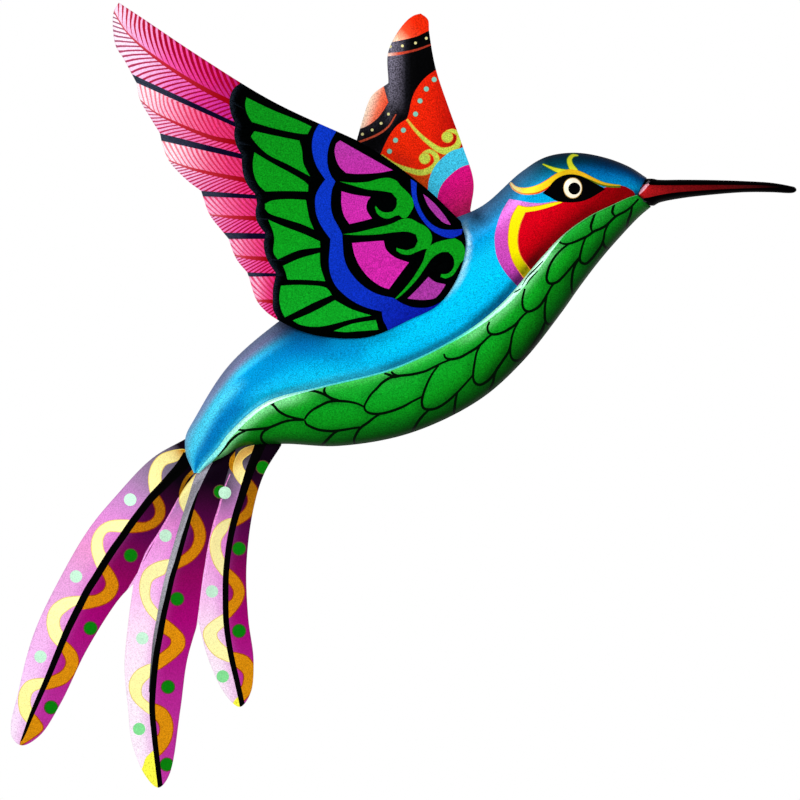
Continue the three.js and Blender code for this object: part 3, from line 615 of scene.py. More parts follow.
def painted_sheet(node, relief, outline, paints, *, thickness, floor=None, holes=(), creases=(),
                  spacing=NET_SPACING, insets=(EDGE_ROUND,), round_edge=EDGE_ROUND, boss=None, brushes=()):
    """A sheet in place of a CAD node: its painted front, its back and its rim, as one closed mesh."""
    outline = outline_in_box(outline, node)
    lines = [(outline_of, True) for _, outline_of, _ in paints] + [(line, False) for line in creases]
    loose = np.vstack([even_points(outline, spacing, insets[-1] + spacing / 3)]
                      + [inset_points(outline, inset) for inset in insets])
    points, faces = triangulated(outline, holes, lines, loose)
    depth, slope_x, slope_z, across, along = relief.read(points).T
    if boss:
        rise, boss_x, boss_z = boss(points)
        depth, slope_x, slope_z = depth + rise, slope_x + boss_x, slope_z + boss_z
    facing = unit(np.column_stack([-slope_x, -np.ones(len(points)), -slope_z]))

    edges = boundary_edges(faces)
    on_edge = np.zeros(len(points), bool)
    on_edge[edges.ravel()] = True
    if floor is None:
        back_depth = depth - thickness
    else:
        wall = np.minimum(thickness / np.abs(facing[:, 1]), THICKEST_WALL * thickness)
        back_depth = np.maximum(depth - wall, floor)
    outward = outward_at(points, edges)
    if round_edge:
        depth = depth - round_edge * on_edge
        facing[on_edge] = unit(facing[on_edge] + outward[on_edge])

    count = len(points)
    front = clip_to_box(to_metres(points, depth), node)
    back = clip_to_box(to_metres(points, back_depth), node)
    closed = on_edge & (depth - back_depth < SAME_POINT)
    behind = np.where(closed, np.arange(count), np.arange(count) + count)
    rim = [list(dict.fromkeys((b, a, behind[a], behind[b])))
           for a, b in edges.tolist() if not (closed[a] and closed[b])]
    back_faces = behind[faces][:, ::-1]

    names = list(dict.fromkeys([BACK_PAINT] + [name for name, _, _ in paints]))
    chosen = topmost_paints(points, faces, paints)
    material = np.zeros(len(faces) + len(back_faces) + len(rim), np.int32)
    material[:len(faces)] = [names.index(paints[k][0]) for k in chosen]
    mesh = bpy.data.meshes.new(node)
    mesh.from_pydata(np.vstack([front, back]).tolist(), [], faces.tolist() + back_faces.tolist() + rim)
    for name in names:
        mesh.materials.append(PAINTS[name])
    mesh.polygons.foreach_set("material_index", material)

    inner = np.where((back_depth > (floor or 0) + SAME_POINT)[:, None], -facing, (0, 1, 0))
    rim_corners = np.array([corner % count for face in rim for corner in face], int)
    normals = [facing[faces].reshape(-1, 3), inner[faces[:, ::-1]].reshape(-1, 3), outward[rim_corners]]
    mesh.shade_smooth()
    mesh.normals_split_custom_set(np.vstack(normals).tolist())

    layers = {"across": across[faces].ravel(), "along": along[faces].ravel()}
    read_beside(points, faces, chosen, paints, layers)
    add_soft_strokes(points, faces, brushes, layers)
    write_layers(mesh, layers)

    mesh.validate()
    piece = placed("painted_" + node, mesh)
    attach(piece, "root")
    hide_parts(node)
    return piece


# Paint
GRAIN_SCALE = 2300
GRAIN = 0.36
PAINT_GLOSS = 0.015
BACK_GLOSS = 0.4
BUMP = 0.15
BUMP_DEPTH = 0.00012
BRUSHED_SCALE = 900
MOTTLE_SCALE = 160
# Noise below the first mark counts as its least and above the second as its most
NOISE_MARKS = (0.3, 0.7)
ENAMEL_MARKS = (0.25, 0.75)
# Roughness varies by this much to both sides
ENAMEL_SPREAD = 0.05
METAL_SPREAD = 0.08
METAL_TONES = (0.85, 1.1)
# A barb's ink starts at the first level of its wave and is full at the second
INK_MARKS = (0.75, 1.25)
BACK_PAINT = "back_black"
PAINTS = {}

# Colours at marks over an attribute, or over the way between two drawing points
Ramp = namedtuple("Ramp", "over stops low high", defaults=(0, 1))
# Ramps that follow each other along an attribute
Blend = namedtuple("Blend", "over layers")


def rgb(code):
    """A colour of six hex digits as linear light."""
    shares = [int(code[k:k + 2], 16) / 255 for k in (0, 2, 4)]
    return tuple(c / 12.92 if c <= 0.04045 else ((c + 0.055) / 1.055) ** 2.4 for c in shares) + (1.0,)


def add(tree, kind, inputs=(), **settings):
    """A node with its settings, and its inputs set or linked in order."""
    made = tree.nodes.new("ShaderNode" + kind)
    for key, value in settings.items():
        setattr(made, key, value)
    for key, value in dict(inputs).items():
        if isinstance(value, bpy.types.NodeSocket):
            tree.links.new(value, made.inputs[key])
        else:
            made.inputs[key].default_value = value
    return made


def reading(tree, over):
    """An attribute by its name, or the share of the way from one drawing point to another."""
    if isinstance(over, str):
        return add(tree, "Attribute", attribute_name=over).outputs["Fac"]
    start, end = (np.array([x - NAIL[0], z - NAIL[1]]) * MM for x, z in over)
    way = (end - start) / ((end - start) @ (end - start))
    place = add(tree, "TexCoord").outputs["Object"]
    product = add(tree, "VectorMath", {0: place, 1: (way[0], 0, way[1])}, operation="DOT_PRODUCT")
    offset = -float(start @ way)
    return add(tree, "Math", {0: product.outputs["Value"], 1: offset}, operation="ADD").outputs[0]


def within(tree, value, low, high):
    """0 where the value is low or less, 1 where it is high or more."""
    return add(tree, "MapRange", {0: value, 1: low, 2: high}).outputs[0]


def mixed(tree, share, first, second):
    return add(tree, "Mix", {0: share, 6: first, 7: second}, data_type="RGBA").outputs[2]


def colour_of(tree, spec):
    if isinstance(spec, str):
        return rgb(spec)
    if isinstance(spec, Ramp):
        ramp = add(tree, "ValToRGB", {0: within(tree, reading(tree, spec.over), spec.low, spec.high)})
        marks = ramp.color_ramp.elements
        for k, (place, code) in enumerate(spec.stops):
            mark = marks[k] if k < 2 else marks.new(place)
            mark.position = place
            mark.color = rgb(code)
        return ramp.outputs[0]
    value = reading(tree, spec.over)
    (reached, layer), *rest = spec.layers
    colour = colour_of(tree, layer)
    for place, layer in rest:
        colour = mixed(tree, within(tree, value, reached, place), colour, colour_of(tree, layer))
        reached = place
    return colour


def varied(tree, colour, noise, least, most):
    """The colour, darker and lighter with the noise."""
    low, high = NOISE_MARKS
    factor = add(tree, "MapRange", {0: noise, 1: low, 2: high, 3: least, 4: most}).outputs[0]
    return add(tree, "VectorMath", {0: colour, "Scale": factor}, operation="SCALE").outputs[0]


def noise_over(tree, place, scale, detail):
    return add(tree, "TexNoise", {"Vector": place, "Scale": scale, "Detail": detail}).outputs[0]


def wire_shader(tree, colour, noise, marks, rough, spread, metal):
    """Links the colour, and a roughness and a bump that follow the noise."""
    low, high = marks
    sheen = add(tree, "MapRange",
                {0: noise, 1: low, 2: high, 3: rough - spread, 4: rough + spread}).outputs[0]
    bump = add(tree, "Bump", {"Strength": BUMP, "Distance": BUMP_DEPTH, "Height": noise}).outputs[0]
    shader = tree.nodes["Principled BSDF"]
    tree.links.new(colour, shader.inputs["Base Color"])
    tree.links.new(sheen, shader.inputs["Roughness"])
    tree.links.new(bump, shader.inputs["Normal"])
    shader.inputs["Metallic"].default_value = metal
    return shader


def finish(tree, colour, metal, rough, grain, brushed, gloss=PAINT_GLOSS):
    """Soft strokes over the colour, most of them painted shade and highlights, then the fine speckle of
    metallic enamel.
    """
    for key, code in brushed.items():
        colour = mixed(tree, reading(tree, key), colour, rgb(code))
    noise = noise_over(tree, add(tree, "TexCoord").outputs["Object"], GRAIN_SCALE, 1)
    colour = varied(tree, colour[:3] if isinstance(colour, tuple) else colour, noise, 1 - grain, 1 + grain)
    shader = wire_shader(tree, colour, noise, ENAMEL_MARKS, rough, ENAMEL_SPREAD, metal)
    shader.inputs["Specular IOR Level"].default_value = gloss


def material_tree(name):
    material = bpy.data.materials.new(name)
    material.use_nodes = True
    PAINTS[name] = material
    return material.node_tree


def enamel(name, spec, metal=0.2, rough=0.42, grain=GRAIN, brushed=None, gloss=PAINT_GLOSS):
    tree = material_tree(name)
    finish(tree, colour_of(tree, spec), metal, rough, grain, brushed or {}, gloss)


def feather_paint(name, ground, ink):
    """Pink ground with barbs drawn across it. The sheet says where in a barb's stripe each point lies."""
    tree = material_tree(name)
    turn = add(tree, "Math", {0: reading(tree, "phase"), 1: 2 * math.pi}, operation="MULTIPLY").outputs[0]
    wave = add(tree, "Math", {0: turn}, operation="COSINE").outputs[0]
    level = add(tree, "Math", {0: wave, 1: reading(tree, "ink")}, operation="ADD").outputs[0]
    colour = mixed(tree, within(tree, level, *INK_MARKS), colour_of(tree, ground), colour_of(tree, ink))
    finish(tree, colour, metal=0.15, rough=0.45, grain=0.2, brushed={})


SHADES = {"shade": "001428"}
# Colours of the painted shade and highlights over the back's blue: shadows, a grey-violet sheen on the rump's
# back edge, shade along the neck's back edge, a pale sheen, deeper blue shade, and a bright highlight stripe
# on the rump.
BACK_BRUSHED = {"shade": "001c34", "violet": "7888ac", "neck_shade": "105888", "sheen": "c8f4ff", "deep": "0070b8",
                "rump_highlight": "58e4ff"}
BELLY_BRUSHED = {"shade": "001c34", "belly_shade": "011a04", "gleam": "90f4a4"}
HEAD_BRUSHED = {"shade": "100406"}


def back_ramp(*stops):
    return Ramp("across", stops, 0, 0.5)


def belly_ramp(*stops):
    return Ramp("across", stops, 0.5, 1)


# The back's blue shades across the body, partly the enamel's own airbrushed gradient and partly painted light
# and shade: grey-violet sheen on the rump's back edge, dark navy along the back edge and crown, a dark band
# above the step.
enamel("back_blue", Blend("along", [
    (0.05, back_ramp((0, "70d0f8"), (0.25, "48c8f0"), (0.42, "30c0ec"), (0.6, "0084cc"), (0.85, "0880b8"),
                     (1, "38bce0"))),
    (0.17, back_ramp((0, "80a8d4"), (0.12, "68c4ec"), (0.28, "48ccf0"), (0.42, "10a8e4"), (0.55, "0092d4"),
                     (0.85, "0890c8"), (0.95, "109cc8"), (1, "38c0e0"))),
    (0.29, back_ramp((0, "8080b8"), (0.12, "9898c8"), (0.22, "40d0f8"), (0.35, "00a0e0"), (0.6, "0098dc"),
                     (0.8, "10b8f0"), (0.93, "08a4cc"), (1, "40c4e4"))),
    (0.36, back_ramp((0, "484868"), (0.1, "586088"), (0.25, "005080"), (0.45, "0080c8"), (0.7, "00b8f0"),
                     (0.9, "08c0f0"), (1, "30c8e8"))),
    (0.43, back_ramp((0, "003050"), (0.45, "0080c0"), (0.62, "00b4f0"), (0.8, "00ccff"), (0.95, "00b4e8"),
                     (1, "18a0c8"))),
    (0.5, back_ramp((0, "2070a0"), (0.35, "00a8e8"), (0.5, "00ccff"), (0.8, "00c8fc"), (0.95, "00b8f0"),
                    (1, "0898c8"))),
    (0.57, back_ramp((0, "5078a0"), (0.15, "3080b8"), (0.3, "0098d8"), (0.48, "08c4f8"), (0.7, "00ccff"),
                     (0.88, "00bcf4"), (0.96, "0090c8"), (1, "0070a8"))),
    (0.64, back_ramp((0, "507090"), (0.12, "3080b0"), (0.3, "00a0dc"), (0.5, "00c4f8"), (1, "00bcf8"))),
    (0.72, back_ramp((0, "083848"), (0.12, "004858"), (0.25, "007098"), (0.4, "00a0d8"), (0.6, "00b0f0"),
                     (1, "00b0f0"))),
    (0.79, back_ramp((0, "002838"), (0.15, "003850"), (0.3, "0060a0"), (0.5, "0080c0"), (1, "00b0f0"))),
    (0.86, back_ramp((0, "001c38"), (0.2, "003868"), (0.4, "0068a8"), (0.55, "0080c0"), (1, "0080c0"))),
    (0.93, back_ramp((0, "002040"), (0.25, "005090"), (0.5, "0078b8"), (0.7, "0088c0"), (1, "004060"))),
]), brushed=BACK_BRUSHED)
# The belly's green, lighter near the step and darker toward the belly's lower edge: painted light and shade
# on the pressed belly, which turns away from the light toward that edge.
enamel("belly_green", Blend("along", [
    (0.15, belly_ramp((0, "20a028"), (0.4, "067814"), (1, "045408"))),
    (0.3, belly_ramp((0, "18a028"), (0.3, "0a981c"), (0.7, "087c14"), (1, "044808"))),
    (0.43, belly_ramp((0, "20b838"), (0.3, "0ca024"), (0.6, "089018"), (0.8, "056010"), (1, "022c04"))),
    (0.55, belly_ramp((0, "10a828"), (0.35, "0ca020"), (0.6, "087810"), (0.8, "045008"), (1, "022c06"))),
    (0.7, belly_ramp((0, "18a830"), (0.3, "0c9c1c"), (0.6, "067010"), (1, "034010"))),
    (0.85, belly_ramp((0, "20a030"), (0.4, "088018"), (0.7, "055c10"), (1, "023008"))),
    (1, belly_ramp((0, "108820"), (1, "024008"))),
]), brushed=BELLY_BRUSHED)
enamel("scale_line", "000e02", grain=0.1)
enamel("step_light", Ramp("along", [(0, "80f0f0"), (0.12, "a0ffe8"), (0.3, "c8ffe0"), (0.42, "60e8e0"),
                                    (0.6, "50e0c8"), (0.68, "a8ffd0"), (0.85, "c8ffe0"),
                                    (1, "60d080")], 0.1, 0.75), rough=0.35)
enamel("crescent_pink", Ramp([(188, 223), (191, 192)], [(0, "e486e4"), (0.4, "d450c0"), (0.8, "c444b4"),
                                                        (1, "802880")]), brushed=HEAD_BRUSHED)
enamel("head_yellow", Ramp([(192, 221), (196, 197)], [(0, "fff010"), (0.7, "fcec00"), (1, "c0b800")]),
       grain=0.14, brushed=HEAD_BRUSHED)
enamel("yellow_edge", "e88830")
enamel("cheek_red", Ramp([(200, 215), (208.5, 205.5)], [(0, "dc0018"), (0.35, "c20010"), (0.75, "900008"),
                                                        (1, "820005")]), brushed=HEAD_BRUSHED)
enamel("brow_yellow", Ramp([(190, 229), (231, 229)], [(0, "fff8c0"), (0.12, "ffe840"), (0.3, "ffd820"),
                                                      (0.5, "d8b010"), (0.7, "f0b820"), (1, "c8a020")]),
       grain=0.12)
enamel("brow_edge", Ramp([(190, 229), (231, 229)], [(0, "f8b878"), (0.15, "f08020"), (0.35, "e83010"),
                                                    (0.5, "6a7008"), (1, "4a6818")]))
enamel("flick_yellow", "d8dc28", grain=0.12)
enamel("flick_edge", "3c7828")
enamel("eye_black", "020203", grain=0.05, rough=0.3)
enamel("eye_cream", "fff6de", grain=0.04)
enamel("eye_tan", "c8a058", grain=0.08)

enamel("plate_black", "010202", grain=0.9, rough=0.4, brushed={"fleck": "303c4c"}, gloss=0)
enamel("cell_green", Ramp([(100, 260), (115, 180)], [(0, "0a8a18"), (0.5, "0a9618"), (1, "0ca022")]))
enamel("scroll_green", "0a9418")
enamel("band_blue", Ramp([(122, 215), (158, 178)], [(0, "0a34c0"), (0.6, "0a2cb8"), (1, "081498")]))
enamel("cell_magenta", Ramp([(135, 245), (140, 200)], [(0, "b034a0"), (0.35, "c42ca8"), (0.7, "cc28a8"),
                                                       (1, "cc24a4")]))
enamel("cell_violet", "a4349c")
enamel("quill_red", Ramp("tone", [(0, "d86070"), (0.4, "c02838"), (1, "98000c")]), grain=0.08)
# Grooves between the feathers: navy, turning grey toward the tips as painted sheen.
enamel("wedge_navy", Ramp("tone", [(0, "343c4c"), (0.35, "282c40"), (0.6, "100a28"), (1, "0a0420")]))
# Feather grounds grow pale toward the tips: partly the print's gradient, partly painted sheen where the
# wing's tips turn toward the light.
feather_paint("first_top",
              Ramp("tone", [(0, "f8d0e8"), (0.3, "f498d0"), (0.5, "ec58a8"), (0.7, "e03890"),
                            (0.85, "d02880"), (1, "b42078")]),
              Ramp("tone", [(0, "b82040"), (0.4, "a00024"), (1, "a40028")]))
feather_paint("first_low",
              Ramp("tone", [(0, "fff4fc"), (0.35, "fcd4f2"), (0.6, "f080cc"), (0.8, "e044a4"),
                            (1, "c42890")]),
              Ramp("tone", [(0, "a07088"), (0.3, "b03860"), (0.55, "b00838"), (1, "a00030")]))
feather_paint("rest_top",
              Ramp("tone", [(0, "fce4ee"), (0.25, "f8b4d0"), (0.5, "f0709c"), (0.75, "e84080"),
                            (1, "d82868")]),
              Ramp("tone", [(0, "f08898"), (0.3, "e04c6c"), (0.6, "d02450"), (1, "c01848")]))
feather_paint("last_top",
              Ramp("tone", [(0, "f8b0d0"), (0.3, "f474a8"), (0.7, "ec4488"), (1, "e02878")]),
              Ramp("tone", [(0, "e04c78"), (1, "c01448")]))
feather_paint("last_low",
              Ramp("tone", [(0, "f8b8e4"), (0.3, "f480c0"), (0.6, "f058a8"), (1, "e83488")]),
              Ramp("tone", [(0, "c03060"), (0.3, "b81848"), (1, "a80030")]))
feather_paint("rest_low",
              Ramp("tone", [(0, "fce8f6"), (0.3, "f8b8e0"), (0.6, "f078b8"), (1, "e83080")]),
              Ramp("tone", [(0, "c06888"), (0.3, "c02454"), (1, "b00030")]))

# The far wing's black, with a grey band of painted sheen across its left part and painted shade over its
# lower part.
enamel("far_black", Ramp([(142, 270), (155, 270)], [(0, "2c2a34"), (0.2, "686474"), (0.42, "54505e"),
                                                    (0.65, "121218"), (0.8, "040405"), (1, "020203")]),
       grain=0.85, brushed={"far_shade": "060608"})
enamel("far_orange", Ramp([(145, 283), (153, 291)], [(0, "fce8d0"), (0.3, "f8a080"), (0.6, "f04424"),
                                                     (1, "e82808")]))
enamel("lobe_orange", Ramp([(134, 261), (143, 258)], [(0, "fdf0dc"), (0.3, "fcd8c0"), (0.65, "f47858"),
                                                      (1, "ec4424")]))
enamel("far_red", Ramp([(150, 252), (170, 252)], [(0, "f02808"), (0.5, "e42008"), (1, "a80808")]),
       brushed=SHADES)
enamel("far_brown", "c84410", brushed=SHADES)
enamel("thin_red", Ramp([(143, 280), (152, 280)], [(0, "fcd8c8"), (0.5, "c84830"), (1, "9c3020")]))
enamel("lobe_line", "b84830")
enamel("dot_teal", "80c8b8", grain=0.08)
enamel("dot_gold", "d8d090", grain=0.08)
enamel("scroll_lime", Ramp([(150, 254), (156, 247)], [(0, "e8a038"), (0.4, "d8c048"), (1, "c4d44c")]))
enamel("scroll_edge", "d8a030")
enamel("root_cyan", "40c4e8", brushed=SHADES)
enamel("root_magenta", Ramp([(164, 235), (175, 222)], [(0, "e41088"), (0.5, "d41078"), (1, "b81858")]),
       brushed=SHADES)

TAIL_BRUSHED = {"shade": "0e0210", "blush": "cc5cc4"}
ARC_BRUSHED = {"shade": "c88410"}
# The tail's flanks in lit and shaded copies of one magenta: the left flanks, which face the light, painted
# pale; the right flanks painted dark; near the root both are painted near black as the body's shade.
LIT_FLANK_ROOT = [(0.12, "5c5662"), (0.2, "766a80"), (0.25, "9c7aa2")]
enamel("tail_lit_flank_first", Ramp("along", LIT_FLANK_ROOT + [
    (0.29, "be84c0"), (0.37, "e08cd6"), (0.45, "e694cc"), (0.52, "e6a0da"), (0.6, "ecace4"), (0.68, "f4baf0"),
    (0.75, "f8d0fa"), (0.85, "fceafc"), (0.93, "fcdcf8"), (1, "f6bcf2"),
]), metal=0.1, rough=0.5, grain=0.2, brushed=TAIL_BRUSHED)
enamel("tail_lit_flank", Ramp("along", LIT_FLANK_ROOT + [
    (0.29, "c080c0"), (0.33, "e08ad2"), (0.41, "f4a4ea"), (0.5, "fac2f4"), (0.58, "fcdcf6"), (0.7, "fceafa"),
    (0.82, "fceafa"), (0.9, "fad8f8"), (1, "f8b4f0"),
]), metal=0.1, rough=0.5, grain=0.2, brushed=TAIL_BRUSHED)
enamel("tail_shaded_flank", Ramp("along", [(0.14, "040004"), (0.2, "0e0210"), (0.27, "300428"), (0.36, "560446"),
                                   (0.46, "880458"), (0.57, "a00470"), (0.66, "a81480"), (0.78, "b82c98"),
                                   (1, "b02c94")]), grain=0.2, brushed=TAIL_BRUSHED)
enamel("valley_light", Ramp([(60, 112), (60, 80)], [(0, "e888d0"), (0.6, "fc9cec"), (1, "fcb4f4")]))
enamel("tail_root", "0a060c", brushed=TAIL_BRUSHED)
enamel("quill_black", "020202", rough=0.35)
enamel("quill_grey", Ramp([(70, 118), (58, 40)], [(0, "8c8894"), (0.5, "a0a0a8"), (1, "404048")]))
# Arcs of the yellow print: pale on the lit flanks as a painted highlight, darker orange on the shaded flanks
# as painted shade
enamel("pale_arc_lit", Ramp("along", [(0.1, "f0e090"), (0.3, "fcf2a6"), (0.6, "fffab2"), (0.85, "fff894"),
                                  (1, "fcf448")]), metal=0.1, grain=0.14, brushed=ARC_BRUSHED)
enamel("pale_arc_lit_edge", "e8cc68", metal=0.1, grain=0.1)
enamel("orange_arc_shaded", Ramp("along", [(0.1, "745006"), (0.25, "985f06"), (0.38, "c47a08"), (0.6, "d88a0a"),
                                    (1, "d08a0a")]), grain=0.3, brushed=ARC_BRUSHED)
enamel("arc_edge", Ramp("along", [(0.15, "4c1c08"), (0.4, "983008"), (1, "b04808")]), brushed=ARC_BRUSHED)
enamel("tip_yellow", "fcf848", metal=0.1)
enamel("dot_green", "087a0a", grain=0.2)
enamel("dot_green_edge", "54402c")
# Green dots on the lit flanks, painted pale as a painted highlight
enamel("mint_dot_lit", "c6f2d6", metal=0.1, grain=0.14)
enamel("bright_dot_lit", "84e094", metal=0.1, grain=0.14)

enamel("bill_black", "020102", grain=0.2, gloss=0)
enamel("bill_red", Ramp([(242, 226), (290, 228)], [(0, "a81418"), (0.2, "7c0c10"), (0.5, "60060a"),
                                                   (0.8, "440a0c"), (1, "140204")]))
# Painted highlight on the raised edge at the bill's base
enamel("bill_highlight", "ffb0c0")
enamel("bill_grey", "585058")

enamel("back_black", "18191c", rough=0.5, grain=0.2, gloss=BACK_GLOSS)
enamel("strap_black", "26272b", rough=0.5, grain=0.2, gloss=BACK_GLOSS)


def rounded(points):
    """A closed outline drawn smoothly through the points, with corners where it turns sharply."""
    given = np.array(points, float)
    before, after = given - np.roll(given, 1, axis=0), np.roll(given, -1, axis=0) - given
    turn = np.abs(np.arctan2(cross2(before, after), (before * after).sum(axis=1)))
    corners = np.flatnonzero(turn > CORNER_TURN)
    if not len(corners):
        wrapped = np.vstack([given[-1:], given, given[:2]])
        return without_doubles(spline(wrapped, SMOOTH_STEPS)[SMOOTH_STEPS:-SMOOTH_STEPS])
    given = np.roll(given, -corners[0], axis=0)
    ends = [*(corners - corners[0]), len(given)]
    closed = np.vstack([given, given[:1]])
    return joined_runs([closed[a:b + 1] for a, b in zip(ends, ends[1:])], SMOOTH_STEPS)


def sides_of(line):
    """At each point of the line, the direction square to it."""
    way = np.gradient(line, axis=0)
    way /= np.maximum(np.linalg.norm(way, axis=1), MESH_PRECISION)[:, None]
    return np.column_stack([-way[:, 1], way[:, 0]])


def stroke(points, widths):
    """A brush stroke: a band along the points, with widths that are spread evenly over them."""
    line = spline(points, SMOOTH_STEPS)
    half = np.interp(np.linspace(0, 1, len(line)), np.linspace(0, 1, len(widths)), widths) / 2
    side = sides_of(line) * half[:, None]
    return without_doubles(np.vstack([line + side, (line - side)[::-1]]))


def extended(line, before, after):
    """The line with its ends drawn further out."""
    line = np.array(line, float)
    start = line[0] + (line[0] - line[1]) / np.linalg.norm(line[0] - line[1]) * before
    end = line[-1] + (line[-1] - line[-2]) / np.linalg.norm(line[-1] - line[-2]) * after
    return np.vstack([start, line, end])


def grown(shape, by):
    """The outline moved outward, for an edge in another colour under it."""
    way = np.roll(shape, -1, axis=0) - np.roll(shape, 1, axis=0)
    way /= np.maximum(np.linalg.norm(way, axis=1), MESH_PRECISION)[:, None]
    area = cross2(shape, np.roll(shape, -1, axis=0)).sum()
    return shape + np.column_stack([way[:, 1], -way[:, 0]]) * by * (1 if area > 0 else -1)


# Paint entries: a paint, its outline, and what it reads beside that, if anything. The last lie on top.
def plain(name, *outlines):
    return [(name, outline, None) for outline in outlines]


def shapes(name, outlines):
    return plain(name, *(rounded(points) for points in outlines))


def dots(name, places, radius, edge=None, by=0.0):
    """Dots, over wider ones of another paint if one is named."""
    under = plain(edge, *(ring(place, radius + by, points=DOT_POINTS) for place in places)) if edge else []
    return under + plain(name, *(ring(place, radius, points=DOT_POINTS) for place in places))


def band(name, outer, inner, edge=None, by=0.0):
    """A band between two lines that run the same way, over a wider one of another paint if one is named."""
    shape = without_doubles(np.vstack([spline(outer, SMOOTH_STEPS), spline(inner, SMOOTH_STEPS)[::-1]]))
    return (plain(edge, grown(shape, by)) if edge else []) + plain(name, shape)


def edged_stroke(points, widths, by):
    """The same stroke, wider by this much."""
    return stroke(points, [width + by for width in widths])


# The near wing's painting
WING_BORDER = [
    [(87.5, 267.1), (85.1, 265.1), (83.6, 261.3), (83.9, 256.4), (85.8, 251.6)],
    [(85.8, 251.6), (85.3, 247.7), (86.3, 243.3), (88.2, 240)],
    [(88.2, 240), (88.2, 236.6), (89, 231.7), (90.9, 227.8), (93.1, 225.4)],
    [(93.1, 225.4), (93.9, 222), (93.4, 219), (93.6, 216), (95, 213), (97.3, 210)],
    [(97.3, 210), (96.5, 207), (96.8, 203.5), (98, 200), (101.2, 195)],
    [(101.2, 195), (100.6, 192.5), (100, 189.5), (99.9, 185), (100, 181.5), (101.5, 178.5)],
]
WING_BORDER_CLOSE = [(101.5, 178.5), (103, 168), (140, 166), (140, 250), (89, 272), (87.5, 267.1)]
WEDGES = [
    ([(46.5, 270.7), (85.8, 252.3)], [(48, 267.6), (85.8, 250.6)]),
    ([(57.2, 248.2), (88.2, 240.4)], [(57.7, 245.5), (88.2, 238.5)]),
    ([(72.8, 226.4), (93.3, 224.9)], [(73, 224.4), (93.3, 223.4)]),
    ([(81, 210.6), (97.5, 210.3)], [(83, 208.2), (96.7, 208.2)]),
    ([(90.2, 195.5), (101, 195.2)], [(90.5, 194), (101.3, 194)]),
]
# Quills from tip to border
QUILLS = [
    [(39.5, 294.7), (43.9, 287.4), (50.2, 281.1), (58.4, 274.8), (67.2, 269), (75.4, 264.2), (83.2, 260.3)],
    [(49.7, 260.8), (55.5, 256), (63.3, 252.1), (70.5, 248.9), (77.8, 246.3), (85.6, 244.8)],
    [(60.9, 237.8), (68.1, 235.1), (77.8, 232.7), (89.4, 230.5)],
    [(76, 217.3), (84, 216.5), (93, 216)],
    [(85, 202), (90, 201.2), (97.5, 200.6)],
    [(93.8, 184.8), (99.5, 184.5)],
]
FEATHER_LIMITS = [
    [(30, 318), (64, 298), (96, 274)],
    [(35, 276), (47, 269.2), (85.8, 251.5), (96, 247)],
    [(45, 250), (57.4, 246.8), (88.2, 239.4), (98, 237)],
    [(60, 226.5), (72.9, 225.4), (93.3, 224.1), (102, 223.7)],
    [(70, 209.3), (82.2, 209.3), (97.3, 209.3), (106, 209.3)],
    [(80, 194.8), (90.3, 194.7), (101.2, 194.6), (109, 194.6)],
    [(80, 168), (96, 168), (109, 172)],
]
# Barbs above and below each quill: lean toward the tip, droop, pitch, ink at the quill and at the edge
BARBS_ABOVE = [(1.9, 0.05, 3.1, -0.1, 1.3), (1.6, 0.05, 2.5, 0.4, 0.9), (1.6, 0.05, 2.4, 0.4, 0.9),
               (1.6, 0.05, 2.3, 0.4, 0.9), (1.6, 0.05, 2.2, 0.4, 0.9), (1.6, 0.05, 2.2, 0.4, 0.9)]
BARBS_BELOW = [(1.35, 0.05, 2.3, 0.7, 0.7), (1.7, 0.06, 2.2, 0.7, 0.8), (1.8, 0.06, 2.1, 0.8, 0.9),
               (1.8, 0.06, 2.1, 0.8, 0.9), (1.8, 0.06, 2.0, 0.8, 0.9), (1.8, 0.06, 2.0, 0.8, 0.9)]
FEATHER_WIDTH = 6
QUILL_REACH = 9
QUILL_WIDTHS = (0.4, 0.5, 1.2, 1.8, 2.2)
WEDGE_REACH = 3
# Rings of this radius cover a whole sheet with its ground paint
WING_GROUND = 200
BODY_GROUND = 250
BILL_GROUND = 60
FEATHER_RANKS = ["first", "rest", "rest", "last", "last", "last"]

GREEN_CELLS = [
    [(90, 261.8), (100, 257), (110, 253), (114.6, 250.8), (113.2, 248), (111, 248), (100, 250.2),
     (94.5, 251.8), (92, 252.5), (90.3, 255.5), (89.5, 259)],
    [(93, 249), (100, 247.5), (110, 245.5), (111, 242), (111.5, 237), (114, 232), (106, 236.3), (98, 240.3),
     (93.5, 244.5), (91.7, 247)],
    [(93, 241), (100, 236.8), (108, 232.5), (112, 230), (113.4, 228.7), (113.3, 226.2), (105, 226.4),
     (97.2, 226.2), (94.5, 228.8), (92.8, 232.8), (92.4, 237)],
    [(97, 221.5), (99.5, 222.7), (106, 223.3), (112.5, 223), (113, 220), (113.8, 216), (115.5, 211.8),
     (111, 213.8), (104, 216), (98.5, 218), (97, 219.7)],
    [(98.2, 215.5), (104, 213), (112, 210), (117.8, 207.3), (117.9, 205), (110, 204), (101.8, 200.5),
     (100.2, 203), (100.5, 208), (100, 211)],
    [(103.8, 198), (110, 200.8), (117.8, 203), (118, 198), (119.8, 192.2), (113, 192.7), (105.5, 192.8),
     (104.8, 195.5)],
    [(103, 190.5), (110, 190.8), (119.5, 190), (121, 189), (122.3, 187), (116, 184.3), (110, 181.3),
     (104.5, 178.5), (103, 181.5), (102.4, 186)],
    [(107.5, 177.3), (115, 180.5), (123.5, 185), (130, 181.5), (137.3, 179.2), (130, 177.8), (120, 175.3),
     (115, 174.9), (110, 175.8)],
    [(123, 173.3), (130, 176), (139, 177.5), (139.6, 175.5), (140, 173.8), (132, 173.2), (127, 172.9)],
]
